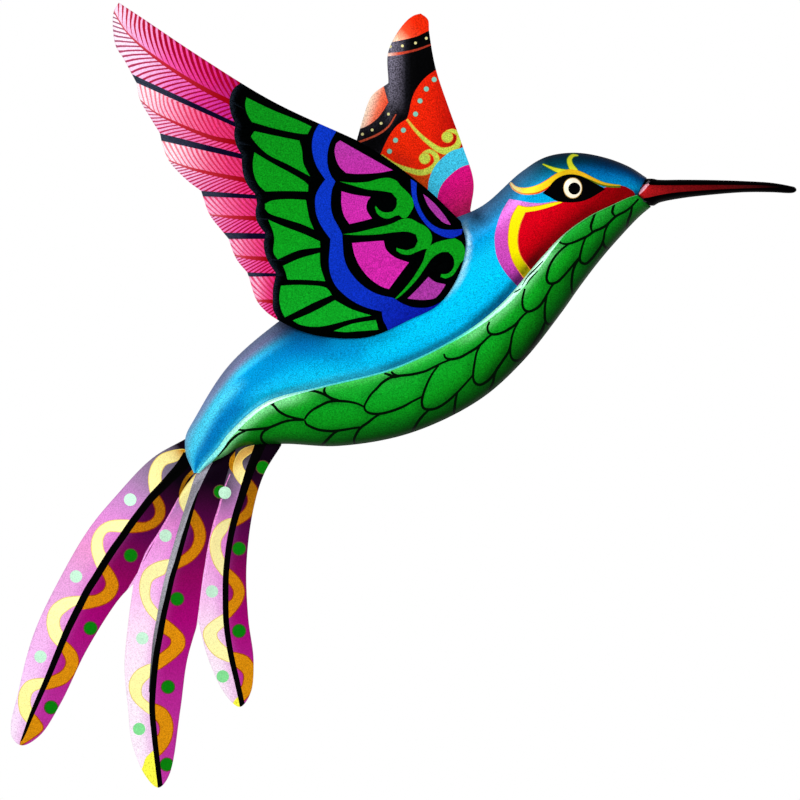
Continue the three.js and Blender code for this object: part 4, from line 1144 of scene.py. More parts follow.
BLUE_BAND = [
    [(121, 256), (117.2, 251.3), (115.5, 248), (114.8, 244), (115.2, 240), (116.7, 235.5), (119.8, 230.8)],
    [(119.8, 230.8), (117.5, 227.5), (116.2, 224.5), (116, 221), (116.6, 217), (118.5, 212.8),
     (121.8, 208.2)],
    [(121.8, 208.2), (121.5, 204), (121.2, 200), (121.6, 195.7), (123.4, 191), (126.5, 187.5), (131, 184.2),
     (136, 182), (141.3, 180.7)],
    [(141.3, 180.7), (141.8, 177.5), (143.5, 174), (144, 168)],
    [(144, 168), (166, 176), (168, 187)],
    [(168, 187), (160, 182.5), (155, 182.1), (152, 182.6), (148, 184.3), (146, 185.7), (142, 186.6),
     (138, 188), (134, 190.6), (131, 193.5), (128.5, 197), (127, 201), (126.5, 205.5), (126.3, 210)],
    [(126.3, 210), (124.8, 213), (122.9, 216.5), (122, 220), (122, 224), (122.5, 227.3), (123.7, 230)],
    [(123.7, 230), (122.2, 232), (121, 235), (120.6, 238.5), (120.9, 242), (122, 245.5), (123.6, 248.3),
     (127, 254)],
]
BLUE_CRESCENT = [
    [(152.3, 231), (152.6, 226), (153.4, 222), (155, 218), (157.8, 214), (161, 211), (165, 209), (168, 208.6),
     (171.5, 210)],
    [(154.5, 229.5), (154.5, 225), (155.5, 221), (157.5, 217), (160.5, 213.7), (164, 212), (167.5, 211.7),
     (172, 212)],
]
MAGENTA_CELLS = [
    [(125.5, 245.6), (130, 243), (138, 238.5), (145.5, 234.3), (140, 233.3), (132, 232.9), (127.8, 233.2),
     (125.5, 235.3), (123.9, 238.5), (123.4, 242), (124, 244.5)],
    [(126, 226.3), (131, 225), (137, 224.2), (135.8, 222.3), (135.5, 219.5), (137.5, 216), (133, 214.8),
     (129, 213.9), (127, 217), (126, 221)],
    [(130, 206.7), (136, 207.2), (142, 207.6), (143, 204.2), (146.3, 201.3), (151.6, 199.3), (148.5, 195.3),
     (144, 189.2), (141.5, 190), (137, 193), (133.3, 197.3), (131, 202)],
]
VIOLET_CELLS = [
    [(151, 185.6), (155, 189.5), (159, 193.9), (161.5, 192), (165.6, 191), (163.5, 187.8), (161.5, 185.8),
     (157, 185.1)],
    [(157, 225.3), (160.5, 222.5), (164.5, 218), (167.5, 213.6), (165, 214.3), (161.5, 217.5), (158.8, 221)],
]
WING_SCROLLS = [
    [(125.3, 230), (130, 229.6), (136, 229.9), (140, 231), (144, 231.4), (147, 230.2), (148.5, 228.3),
     (151, 226), (153, 223.3), (153.3, 220.5), (152.2, 218.3), (151, 216.6), (150.3, 216), (149, 216.3),
     (147.8, 217.3), (146.5, 217), (144, 216), (141.5, 216.4), (139.5, 218), (138.7, 220.2), (139, 220.8),
     (140.3, 219.3), (142.5, 218.3), (145.3, 218.6), (146.8, 220.5), (147, 223.5), (145, 225.8),
     (141, 226.5), (136, 227), (130, 228.6)],
    [(126.5, 210), (132, 210.8), (138, 212.2), (145, 214), (149, 215.8), (152, 216), (155, 214.5),
     (158.5, 212.5), (160.3, 209.5), (160, 206.5), (158.7, 204.5), (157, 204.3), (154.5, 203.3),
     (152, 202.3), (149, 202.5), (146.9, 203.7), (146.8, 204.9), (148.8, 204.3), (151, 204), (153.8, 205),
     (155, 207.5), (154.2, 210), (151, 211), (146, 210.8), (140, 210), (132, 209.7)],
    [(146.2, 185.5), (150, 189.5), (153.5, 194), (157, 200), (158.5, 204.5), (161, 206.5), (165, 207.8),
     (169, 208.5), (171.5, 207), (172.8, 204.3), (172.6, 200.5), (171.3, 199.3), (170, 197), (168, 194.3),
     (165.5, 193.2), (163.6, 193.8), (163.8, 194.9), (166, 195), (168, 196.5), (168.8, 198.8),
     (168.3, 201.5), (166.5, 203.3), (164, 203.2), (161, 201.5), (158.5, 198.5), (155.5, 194),
     (151.5, 189.5), (147, 185.6)],
]


def barb_reader(quill, lean, droop, pitch, ink_start, ink_end):
    """What the feather paint reads beside a quill: the barbs' phase, their ink, and the tone."""
    line = spline(extended(quill[::-1], QUILL_REACH, QUILL_REACH), SMOOTH_STEPS)
    length = np.linalg.norm(np.diff(np.array(quill, float), axis=0), axis=1).sum()

    def read(points):
        gap, foot = distance_to(points, line)
        foot = foot - QUILL_REACH
        out = np.clip(gap / FEATHER_WIDTH, 0, 1)
        tone = np.clip(1 - foot / length, 0, 1)
        return {"phase": (foot - lean * gap + droop * gap ** 2) / pitch,
                "ink": mix(ink_start, ink_end, out), "tone": tone}

    return read


def tone_reader(line):
    points_on = np.array(line, float)
    length = np.linalg.norm(points_on[-1] - points_on[0])

    def read(points):
        _, foot = distance_to(points, spline(points_on, SMOOTH_STEPS))
        return {"tone": np.clip(foot / length, 0, 1)}

    return read


def near_wing_paints():
    paints = plain("plate_black", ring(NEAR_PLATE_LINE[1], WING_GROUND))
    for k, quill in enumerate(QUILLS):
        reach = extended(quill, QUILL_REACH, QUILL_REACH)
        above, below = (np.vstack([limit, reach[::-1]]) for limit in FEATHER_LIMITS[k:k + 2])
        paints += [(FEATHER_RANKS[k] + "_top", above, barb_reader(quill, *BARBS_ABOVE[k])),
                   (FEATHER_RANKS[k] + "_low", below, barb_reader(quill, *BARBS_BELOW[k])),
                   ("quill_red", stroke(reach, QUILL_WIDTHS), tone_reader(quill))]
    for upper, lower in WEDGES:
        wedge = np.array([upper[0], *extended(upper, 0, WEDGE_REACH)[1:],
                          *extended(lower, 0, WEDGE_REACH)[:0:-1]])
        paints.append(("wedge_navy", wedge, tone_reader(upper)))
    border = np.vstack([joined_runs(WING_BORDER, SMOOTH_STEPS), WING_BORDER_CLOSE])
    paints += plain("plate_black", without_doubles(border))
    paints += shapes("cell_green", GREEN_CELLS)
    paints += plain("band_blue", joined_runs(BLUE_BAND, SMOOTH_STEPS)) + band("band_blue", *BLUE_CRESCENT)
    paints += shapes("cell_magenta", MAGENTA_CELLS) + shapes("cell_violet", VIOLET_CELLS)
    return paints + shapes("scroll_green", WING_SCROLLS)


# The far wing's painting
FAR_TIP_LINE = [(140, 282.3), (144.7, 283.1), (149.6, 284.1), (154.5, 285.3), (159.1, 287.5), (163, 289)]
FAR_TIP_DOTS = [(144.5, 281.5), (149.1, 281.7), (154.1, 282.8), (158.2, 284.6)]
FAR_LOBE_DOTS = [(133.9, 248.2), (137.6, 249.8), (141, 252.3), (143.8, 255.8)]
FAR_TEAL_DOTS = [(161.2, 268.9), (158.2, 265.3), (155.8, 260.8), (154.1, 255.8), (149.5, 249.7),
                 (146.5, 245.9), (144.2, 241.7)]
FAR_RED = [
    [(166, 276), (162, 272.7), (158.8, 270.5), (156.4, 268.1), (154, 264.7), (152.5, 260.8), (151.6, 256.5),
     (150.8, 254)],
    [(150.8, 254), (147.2, 251.6), (144.8, 248.7), (142.4, 244.3), (140.9, 240.9)],
    [(140.9, 240.9), (139.9, 239)],
    [(139.9, 239), (139, 225), (180, 220), (180, 260), (166, 276)],
]
FAR_LOBE = [
    [(128, 250), (134.1, 250.6), (139.9, 254.5), (143.8, 260.3)],
    [(143.8, 260.3), (142.9, 263), (142.1, 266.1), (141, 271)],
    [(141, 271), (128, 268), (128, 250)],
]
FAR_SCROLLS = [
    ([(150.8, 253.8), (154.5, 249.2), (159.3, 244.8), (164.2, 241.9), (168.1, 242.4), (170.3, 244.5),
      (170.6, 247.8), (168.4, 249.4), (165.8, 248.8)], (0.5, 1.0, 1.6, 2.5, 2.2, 1.6, 1.3, 1.2)),
    ([(141.1, 240.4), (145.7, 237), (150.6, 234.9), (156.4, 233.6), (160.3, 235.1), (162.2, 237.6),
      (161.6, 240.3), (159.4, 241.7), (157, 240.6)], (0.4, 1.1, 1.7, 2.2, 2.0, 1.8, 1.3, 1.2)),
]
FAR_BLOBS = [(166.2, 247.1), (157.6, 239)]
FAR_BROWN = [(146, 236), (152, 233.6), (157, 232.4), (160.5, 233.2), (161, 231), (158.8, 227.8), (150, 228)]
FAR_BROWN_TOP = [(162, 240), (165, 240.6), (168, 242), (166, 239), (164, 238)]
FAR_CYAN = [
    [(174, 244.5), (171.8, 243.1), (168, 241.9), (164.1, 239), (161.2, 235.6), (159.3, 231.2), (158.8, 227.8),
     (158.6, 222)],
    [(177, 237.5), (174.9, 236.8), (171.3, 235.6), (167.4, 232.7), (164, 228.8), (162.6, 224.9), (162, 219)],
]
FAR_ROOT = [*FAR_CYAN[1], (158, 205), (184, 205), (184, 237)]
FAR_TIP_CLOSE = [(163, 300), (138, 300)]
FAR_THIN_LINE = ([(142, 278.3), (148.6, 278.9), (154.5, 280.2), (161, 282.6)], (1.3, 0.9, 0.6))
FAR_LOBE_LINE = ([(131.5, 245), (133.4, 245.5), (139.9, 248.2), (143.8, 251.1), (146.7, 255.7)],
                 (0.7, 0.8, 0.5))
GOLD_DOT = 0.55
TEAL_DOT = 0.95
BLOB = 2.0
FAR_EDGING = 0.3
SCROLL_EDGING = 0.5


def far_wing_paints():
    tip = np.vstack([spline(FAR_TIP_LINE, SMOOTH_STEPS), FAR_TIP_CLOSE])
    paints = plain("far_black", ring(FAR_BEND, WING_GROUND)) + plain("far_orange", tip)
    paints += plain("thin_red", stroke(*FAR_THIN_LINE))
    paints += dots("dot_gold", FAR_TIP_DOTS + FAR_LOBE_DOTS, GOLD_DOT)
    paints += plain("lobe_orange", joined_runs(FAR_LOBE, SMOOTH_STEPS))
    paints += plain("lobe_line", stroke(*FAR_LOBE_LINE))
    paints += plain("far_red", joined_runs(FAR_RED, SMOOTH_STEPS))
    paints += dots("dot_teal", FAR_TEAL_DOTS, TEAL_DOT, "far_brown", FAR_EDGING)
    paints += shapes("far_brown", [FAR_BROWN, FAR_BROWN_TOP])
    for scroll in FAR_SCROLLS:
        paints += plain("scroll_edge", edged_stroke(*scroll, SCROLL_EDGING))
        paints += plain("scroll_lime", stroke(*scroll))
    paints += dots("scroll_lime", FAR_BLOBS, BLOB, "scroll_edge", FAR_EDGING)
    return paints + band("root_cyan", *FAR_CYAN) + shapes("root_magenta", [FAR_ROOT])


# The tail's painting: quill lines with their widths
TAIL_QUILLS = [
    ([(68, 126), (64.8, 121.6), (61, 117.6), (57.2, 113.6), (53.7, 110), (49, 104), (46, 100), (42.6, 95),
      (39, 90), (35.8, 85), (32.8, 80), (29.6, 75), (26, 68), (22, 60), (18, 50.5), (14.5, 42), (11, 34),
      (8, 27), (5.5, 20.5), (4.2, 17.5)], (5, 3.4, 2.8, 2.8, 2.9, 2.8, 2.4, 1.8, 0.6)),
    ([(71.6, 112.6), (70.3, 109), (69.2, 105.5), (67.6, 100), (66.1, 95), (64.7, 90), (63.3, 85), (61.7, 80),
      (59.9, 72), (58.3, 65), (57.2, 59), (55.6, 50), (54.5, 40), (54, 30), (54.8, 20), (55.9, 10),
      (57.2, -1)], (0.4, 1.3, 1.8, 1.9, 2.1, 2.4, 2.4, 2.2, 1.9)),
    ([(95.4, 131), (93.4, 126), (91.2, 120.4), (89.5, 115), (87.9, 110), (86.3, 105), (84.9, 100), (83.8, 95),
      (83, 90), (82.4, 85), (82, 80), (81.9, 73), (82.2, 62), (84, 50), (86.3, 40), (88.4, 30.5)],
     (4.2, 3.2, 2.8, 2.5, 2.3, 2.3, 2.2, 2.0)),
]
QUILL_STRIP = ([(77, 126.4), (73.5, 120.8), (70.8, 115), (69, 109.6), (67.2, 104.2), (65.2, 98), (63.4, 92),
                (61.6, 86), (60, 80), (58, 72), (56.4, 64), (54.8, 56), (53.7, 46), (52.9, 36)],
               (3, 3.6, 2.9, 2.7, 2.6, 2.5, 2.2, 1.8, 1.4, 0.8, 0.4))
VALLEY_LIGHTS = [
    [(64, 110), (60.3, 103), (56.5, 96.5), (52.3, 90), (49.4, 83.5), (47.7, 78.6)],
    [(83.6, 119), (81.2, 113), (79.6, 107), (77.4, 100), (75.6, 92), (74.2, 84), (73.4, 76)],
]
VALLEY_LIGHT_WIDTHS = (0.3, 0.7, 0.7, 0.3)
# Arcs of the yellow print where they run over the shaded flanks, painted darker orange as painted shade
ORANGE_ARCS = [
    ([(55.5, 112.5), (58.5, 107), (58.5, 103), (56, 99.5), (52, 97.5), (44.5, 96.6)],
     [(53.8, 109.6), (55.3, 105), (54.5, 102.3), (51.5, 100.5), (46.5, 100.7)]),
    ([(36.4, 85.6), (40, 80), (41, 76.5), (39.5, 72.5), (36, 69.7), (27.5, 67.4)],
     [(34.7, 82), (36.5, 77.5), (35.7, 75), (33, 73), (29.3, 72.5)]),
    ([(21.2, 55.5), (25, 51), (25.8, 47.5), (24.5, 43.5), (21, 39.5), (13, 36.8)],
     [(19.5, 52), (21.3, 48), (20.8, 45.5), (19, 43.5), (15, 41.6)]),
    ([(9, 28), (12.3, 23), (12, 21.5), (3.5, 15.4)], [(7, 24), (5.5, 20), (4.2, 17.5)]),
    ([(69.2, 106.5), (73, 100.5), (74.2, 95.5), (72.8, 90.5), (69, 86), (61.5, 82)],
     [(67.6, 102), (69.8, 97.5), (70, 94), (68.5, 90.5), (63.6, 86.5)]),
    ([(57.6, 64.8), (62, 61.5), (66, 57), (66, 53), (63, 49.5), (55.5, 44)],
     [(57.2, 59), (61, 56.5), (61, 54), (55.6, 49.4)]),
    ([(54, 32), (59, 29.5), (61.5, 25), (61.5, 20), (60, 16), (56, 11.2)],
     [(54.6, 27), (57, 23), (56.6, 20), (54.8, 18)]),
    ([(90, 118.5), (94, 113), (94, 108), (91.5, 103), (85, 98.6)],
     [(88.8, 114), (90.5, 109.5), (89.5, 106), (86, 102.4)]),
    ([(82.6, 83.6), (87.5, 78.5), (89, 74), (87.5, 69.5), (82.8, 63.6)],
     [(82.6, 78.4), (85, 74.5), (84.5, 71.5), (82.6, 70)]),
    ([(84, 51.4), (90, 49.5), (92.5, 46), (92.7, 41), (91.5, 36), (88, 32)],
     [(86, 45.8), (88.8, 43), (88.5, 39), (87.4, 37)]),
]
ORANGE_WEDGES = [
    [(70, 121.5), (66, 117), (64.2, 112), (64.3, 109), (65.5, 113), (68, 117.5), (70.8, 120)],
    [(85.5, 127.5), (83.6, 125), (83.3, 121.5), (84.8, 119), (85.3, 123)],
    [(66.5, 128.5), (63.5, 127.6), (62.5, 126), (65.5, 125)],
]
# Arcs of the yellow print where they run over the lit flanks, painted pale as a painted highlight
PALE_ARCS = [
    ([(66.5, 128.3), (62, 127.8), (57, 126), (54, 122.5), (52.7, 117.5), (53.4, 111)],
     [(65.6, 125.8), (63, 124), (59, 122.5), (57.3, 119.5), (57.4, 115)]),
    ([(47, 101.4), (38, 101), (34, 98.8), (31.5, 95), (31, 90), (33, 83.4)],
     [(42.6, 97), (37, 97), (35.2, 94.5), (35.3, 90.5), (37, 87)]),
    ([(28, 72.6), (20, 71.5), (15.5, 68), (14, 63), (15.3, 57), (19, 52.8)],
     [(26.4, 70), (22, 67.5), (19, 64.5), (18.8, 61), (20.6, 57.6)]),
    ([(14, 41.4), (7, 40.3), (4, 37), (3.2, 33), (4, 28), (6.8, 24)],
     [(12.6, 38), (8.5, 36), (7.5, 32), (8.8, 28)]),
    ([(72, 120.4), (66, 113), (64.3, 109), (66, 104.5)],
     [(71.5, 118), (69.2, 112.5), (68, 109), (67.6, 106)]),
    ([(61, 86.6), (55, 85), (51, 82), (49.3, 77), (49.8, 72), (52, 67), (56.4, 62.3)],
     [(58.6, 81), (54, 78.5), (53, 75), (53.3, 71), (57, 66)]),
    ([(53.6, 47), (48, 44), (45.5, 40), (45.5, 36.5), (47, 33), (53, 27.5)],
     [(53, 42), (50, 38.5), (50, 34.5), (53, 31.5)]),
    ([(93.4, 130), (88, 128), (85.5, 124), (85, 119.5), (87.6, 115)],
     [(92.4, 127.8), (88, 124), (88.5, 121), (90, 119)]),
    ([(84, 102.3), (79.5, 100), (76.8, 96), (76, 91), (77.5, 85), (81.5, 79.4)],
     [(82.5, 97.6), (80, 93.5), (80, 90), (81.5, 86)]),
    ([(82.6, 66.4), (77, 63), (74, 60), (73.5, 57.5), (75, 53.5), (78, 50), (84, 47.2)],
     [(81.5, 61.4), (78.5, 58.5), (79, 56), (83, 52)]),
]
YELLOW_TIPS = [
    [(54.5, 14), (51.5, 11), (50.5, 8), (48, 3), (54, -3), (57.5, -1)],
    [(88, 35.6), (85, 32.5), (84, 29), (88, 28.5)],
]
GREEN_DOTS = [(45.8, 88), (30.5, 60.3), (15.5, 30.2), (63.5, 71.5), (60, 38), (59.5, 8.5), (96, 121.5),
              (87, 90.6), (87, 59.3), (79.8, 112.2)]
# Green dots on the lit flanks, painted pale as a painted highlight
MINT_DOTS = [(45.6, 109.2), (25, 80), (11.5, 49.5), (59, 95.5), (50.2, 56.5), (81.6, 111.8), (76.7, 74.3)]
BRIGHT_DOTS = [(49, 22), (80.8, 42)]
DOT_RADIUS = 2.4
DOT_EDGING = 0.35
ORANGE_EDGING = 0.4
PALE_EDGING = 0.3
TAIL_MIDDLE = (80, 100)


def tail_rail(k):
    points = TAIL_RAILS[k][0]
    return spline([mix(*TAIL_ROOT_LINE, k / (len(TAIL_RAILS) - 1)), *points], NET_STEPS)


def tail_paints():
    paints = plain("tail_root", ring(TAIL_MIDDLE, WING_GROUND))
    # Each feather's left flank is painted pale as the lit side, its right flank painted dark as the shaded
    # side
    for k in range(0, len(TAIL_RAILS), 3):
        left, quill, right = tail_rail(max(k - 1, 0)), tail_rail(k + 1), tail_rail(k + 2)
        pale = "tail_lit_flank" if k else "tail_lit_flank_first"
        paints += plain(pale, without_doubles(np.vstack([left, quill[::-1]])))
        paints += plain("tail_shaded_flank", without_doubles(np.vstack([quill, right[::-1]])))
    paints += plain("valley_light", *(stroke(line, VALLEY_LIGHT_WIDTHS) for line in VALLEY_LIGHTS))
    for arc in ORANGE_ARCS:
        paints += band("orange_arc_shaded", *arc, "arc_edge", ORANGE_EDGING)
    paints += shapes("orange_arc_shaded", ORANGE_WEDGES)
    for arc in PALE_ARCS:
        paints += band("pale_arc_lit", *arc, "pale_arc_lit_edge", PALE_EDGING)
    paints += shapes("tip_yellow", YELLOW_TIPS)
    paints += dots("dot_green", GREEN_DOTS, DOT_RADIUS, "dot_green_edge", DOT_EDGING)
    paints += dots("mint_dot_lit", MINT_DOTS, DOT_RADIUS) + dots("bright_dot_lit", BRIGHT_DOTS, DOT_RADIUS)
    paints += plain("quill_grey", stroke(*QUILL_STRIP))
    return paints + plain("quill_black", *(stroke(*quill) for quill in TAIL_QUILLS))


# The body's painting
BELOW_STEP = [(250, 224), (250, 110), (75, 110), (74, 122.5)]
# Width of the pale light along the step, by the drawing's x
STEP_LIGHT_WIDTHS = [(71, 1.2), (75, 2.0), (79, 1.8), (90, 1.7), (100, 1.5), (107, 1.0), (115, 0.6),
                     (165, 0.6), (175, 1.1), (190, 2.1), (200, 2.1), (206, 1.2), (211, 0.35), (240, 0.15)]
STEP_CREASE_SHARES = (0, 0.25, 0.5, 0.75, 1)
SCALE_LINES = [
    [(78.8, 125.8), (81.4, 128.7), (84, 131.8), (86.5, 133.9), (89.5, 135.4)],
    [(85.5, 136), (89, 135.6), (92, 135.9), (98, 136.5), (100.5, 137.4), (104, 138.8), (107, 139.4),
     (111.8, 139.5)],
    [(98.5, 136.3), (96.3, 135), (95.4, 133), (96, 131.3), (98, 130)],
    [(98.5, 145.9), (100.2, 145), (102, 143), (105, 141.2), (108, 140.3), (112, 139.6)],
    [(99.8, 146.6), (100.2, 145)],
    [(112, 139.8), (113, 141.4), (115, 143.3), (118, 145), (120.5, 146.2), (123, 146.7), (126, 146.7),
     (129, 146.4), (132, 145.7), (134.6, 144.5)],
    [(112, 139.4), (112.6, 138), (114.4, 136.9), (117, 135.9), (120, 135.4), (123, 135.3), (127, 135.8),
     (130, 136.3), (133.6, 136.8)],
    [(112.5, 150.8), (115.5, 150.5), (118, 149.8), (120.5, 148.6), (122.5, 147.3), (124, 146.8)],
    [(119.8, 152), (119.4, 150.6), (120, 149.2), (122, 147.9), (125, 147)],
    [(142.2, 157.2), (144, 156.7), (146, 155.9), (148, 156.1)],
    [(144.8, 157.9), (146.3, 156.6), (148.2, 156.2)],
    [(134.6, 144.6), (135.3, 146.2), (137, 149), (139.3, 151.4), (141.5, 153.7), (144, 155.3), (146.5, 156.1),
     (149, 156.4), (152, 156.7), (155, 157.3), (158, 158.1), (161, 159.6), (164, 161.1), (168, 162.7)],
    [(134.7, 144.8), (134.9, 143.4), (136.2, 142.3), (139, 141.8), (142, 142.1), (145, 142.9), (148, 144),
     (150, 144.9), (153, 146.6), (156.7, 148.4)],
    [(141, 142), (138.5, 140.5), (136, 138.5), (133.3, 136.6), (131.4, 133.8), (130.7, 131.6), (131.4, 130)],
    [(124.8, 135.5), (122.8, 134.2), (121, 132.5), (119.5, 130.9), (118, 129.6)],
    [(162.8, 160.2), (160.8, 157.6), (159.2, 154.8), (157.8, 151.5), (156.8, 148.4), (156.5, 145.8),
     (157.2, 144), (158.8, 143.5), (161.5, 143.8), (164, 145), (167, 147.2), (170, 150), (172.5, 152.7),
     (176, 156.6)],
    [(164.9, 164.6), (165.3, 163.4), (166.4, 162.7), (168, 162.6), (171, 163.3), (174, 164.9), (177, 166.7),
     (179.5, 168.8), (181.5, 170.8), (183.4, 172.2)],
    [(178.6, 167.8), (177.3, 165), (176.5, 161), (176, 157), (176.2, 154.6), (177.2, 153.2), (178.8, 152.9),
     (181, 154), (183, 155.8), (185, 158.7), (187.2, 162), (189.2, 165), (190.2, 168), (190.7, 171),
     (191.7, 174), (193.3, 177)],
    [(182.2, 176.8), (181.4, 174.7), (181.8, 172.9), (183, 172.1), (185, 172.1), (187.5, 172.9), (190, 174.3),
     (192, 175.8), (195, 179.2), (197, 180.8)],
    [(190.2, 168), (190.2, 164.2), (191.2, 162.4), (193, 162.1), (196, 164), (199, 167.6), (201.3, 171.2),
     (202.6, 174), (203.4, 177)],
    [(195.6, 189.4), (194.7, 185.5), (194.8, 182.8), (195.6, 181.2), (197, 180.7), (199, 181.3),
     (201.3, 182.9), (203, 185.3), (204.5, 188), (205.8, 190.3), (207.4, 192)],
    [(204, 186.8), (203.3, 183), (203.2, 179.5), (203.5, 177), (204.6, 175.9), (206.5, 176.4)],
    [(212, 206.2), (209.5, 204.2), (207.2, 201.7), (205.2, 198.5), (204.2, 195.5), (203.9, 193),
     (204.6, 191.6), (206, 191.3), (208, 192), (210, 193.8), (212.3, 196.4), (214.4, 199), (216.6, 201.6)],
    [(208.6, 207.8), (209.2, 206.8), (211.6, 206.3), (214.4, 207.1), (217, 208.2), (219.5, 209.4),
     (222, 211.2), (224.2, 212.1), (226.5, 213.4), (228.2, 215), (230, 216.7), (231.5, 217.6),
     (233.5, 218.6), (235.5, 220), (237, 221.5), (238.8, 223.5)],
    [(218.8, 209), (217.6, 206), (216.9, 203.3), (216.5, 201), (217, 199.4), (218.8, 198.9), (221, 200.7),
     (223, 203.3), (224.8, 206), (225.6, 208.5), (226, 211), (227.4, 214)],
    [(225.4, 208), (225.6, 206.4), (226.3, 205.2), (227.6, 204.8), (229.8, 206.4)],
    [(216.5, 201), (214.8, 198.4), (213.9, 196), (213.5, 193), (213.4, 190), (213.8, 187.4)],
    [(222.4, 218.2), (221.4, 215.5), (220.7, 213), (221.2, 210.9)],
    [(229.8, 221.8), (229, 219.6), (228.9, 218.2), (229.8, 217)],
    [(236.4, 220.8), (235.9, 218), (235, 215.5), (234.4, 212.6)],
    [(170, 149.8), (169.2, 146.5), (168.9, 143.5), (168.4, 140.8)],
    [(159.5, 143.6), (157.5, 141.8), (155.5, 139.5), (153.8, 136.8), (152.8, 135)],
    [(187.2, 162), (185.2, 159.2), (184.1, 156.6), (183.6, 154), (182.2, 150.8)],
    [(203.4, 177), (201.8, 173), (200, 170), (197.6, 166.4)],
]
SCALE_LINE_WIDTHS = (0.75, 1.05, 1.05, 0.75)
NECK_LINES = [
    [(191.5, 187.8), (194, 189.4)],
    [(194.5, 190.6), (196.8, 194), (199.5, 196.8), (202.6, 200)],
    [(196, 190.6), (197.6, 193), (200.6, 196.2)],
]
NECK_LINE_WIDTHS = (0.3, 0.6, 0.4)
CRESCENT = [
    [(189.7, 223.5), (186.8, 218.6), (184.4, 210.9), (184.2, 207), (185.1, 201.2), (188.3, 195.4),
     (193.2, 189.9)],
    [(193.2, 189.9), (197.2, 194)],
    [(197.2, 194), (192.6, 199.8), (190.8, 206), (190.8, 210.9), (192, 216.7), (194.4, 220.4)],
    [(194.4, 220.4), (198, 220.8), (202.8, 221), (207.9, 222)],
    [(207.9, 222), (207.7, 222.5), (202.8, 221.9), (198, 222), (193.1, 222.9), (189.7, 223.5)],
]
YELLOW_BAND = [
    [(193.1, 221), (190.7, 216.7), (189.5, 210.9), (189.5, 206), (191.2, 199.8), (195.2, 193.6)],
    [(195.2, 193.6), (199, 197.1)],
    [(199, 197.1), (195, 201.2), (193.6, 208), (194.6, 213.8), (196.2, 217.8)],
    [(196.2, 217.8), (200.4, 218.8), (205.7, 220.4), (210.2, 222)],
    [(210.2, 222), (209.5, 222.3), (205, 221.7), (201, 220.8), (196, 220.3), (193.1, 221)],
]
CHEEK = [
    [(196, 218.4), (194.1, 213.8), (193.1, 208), (194.1, 202.2), (198, 196.4)],
    [(198, 196.4), (200, 197), (207.2, 205.5), (216.2, 212.8), (225.2, 218), (237.6, 224)],
    [(237.6, 224), (237.2, 225.9), (235.8, 227.1), (233.3, 228.3), (230, 228.6), (226.3, 227.9)],
    [(226.3, 227.9), (212, 223.5), (209.6, 222)],
    [(209.6, 222), (205.7, 220.6), (200.4, 219.1), (196, 218.4)],
]
YELLOW_EDGE_WIDTHS = (0.5, 0.7, 0.7, 0.5)
ALMOND = [
    [(202.3, 225.7), (204.5, 227.7), (207, 230.6), (210, 232.3), (213, 232.8), (216, 232.4), (219, 231.2),
     (222, 229.6), (226.3, 227.2)],
    [(226.3, 227.2), (224, 225.8), (221, 224), (217.5, 222.6), (212.5, 222.1), (208, 222.6), (205, 224.2),
     (202.3, 225.7)],
]
BROW = ([(190.2, 229.9), (191.6, 228), (194, 226.9), (197, 226.7), (200.5, 227.4), (204, 229.2),
         (207.5, 231.9), (210.5, 233.4), (213.5, 233.8), (217, 233), (221, 231.2), (225, 229.5),
         (228.5, 228.8), (232, 228.6)],
        (0.3, 1.0, 1.7, 2.1, 2.5, 2.4, 1.8, 1.8, 1.9, 1.5, 1.1, 0.9, 0.7, 0.3))
FLICKS = [
    ([(202.4, 236.8), (205.6, 235.3), (208.5, 234.2), (211, 233.8)], (0.3, 0.9, 1.6, 1.6)),
    ([(216, 240.1), (213.8, 240), (212.6, 238.4), (213, 236.4), (214.6, 233.8)], (0.3, 1.2, 1.7, 1.9, 2.6)),
]
EYE_RING = (3.6, 4.0)
EYE_RING_EDGE = 0.25
PUPIL = (214.4, 227.4)
PUPIL_RADIUS = 2.3
YELLOW_EDGING = 0.3
BROW_EDGING = 0.8
FLICK_EDGING = 0.6
# The brow's edge shows more below it than above
BROW_DROP = 0.25


def body_paints():
    yellow, cheek = joined_runs(YELLOW_BAND, SMOOTH_STEPS), joined_runs(CHEEK, SMOOTH_STEPS)
    paints = plain("back_blue", ring(EYE, BODY_GROUND))
    paints += plain("crescent_pink", joined_runs(CRESCENT, SMOOTH_STEPS))
    paints += plain("yellow_edge", grown(yellow, YELLOW_EDGING)) + plain("head_yellow", yellow)
    paints += plain("yellow_edge", stroke(CHEEK[0], YELLOW_EDGE_WIDTHS)) + plain("cheek_red", cheek)
    paints += plain("belly_green", np.vstack([station_line(1), BELOW_STEP]))
    paints += plain("scale_line", *(stroke(line, SCALE_LINE_WIDTHS) for line in SCALE_LINES))
    paints += plain("step_light", step_band())
    paints += plain("scale_line", *(stroke(line, NECK_LINE_WIDTHS) for line in NECK_LINES))
    points, widths = BROW
    lowered = [(x, z - BROW_DROP) for x, z in points]
    paints += plain("flick_edge", *(edged_stroke(*flick, FLICK_EDGING) for flick in FLICKS))
    paints += plain("brow_edge", edged_stroke(lowered, widths, BROW_EDGING))
    paints += plain("flick_yellow", *(stroke(*flick) for flick in FLICKS))
    paints += plain("brow_yellow", stroke(points, widths))
    paints += plain("eye_black", joined_runs(ALMOND, SMOOTH_STEPS))
    wide, high = EYE_RING
    paints += plain("eye_tan", ring(EYE, wide, high))
    paints += plain("eye_cream", ring(EYE, wide - EYE_RING_EDGE, high - EYE_RING_EDGE))
    return paints + plain("eye_black", ring(PUPIL, PUPIL_RADIUS))


BILL_RED = [(238, 224.6), (240, 223.5), (250, 225.6), (260, 226.6), (270, 227.2), (280, 227.6), (292, 227.9),
            (292, 228.3), (285, 228.7), (264, 228.8), (243, 228.8), (238, 229.5)]
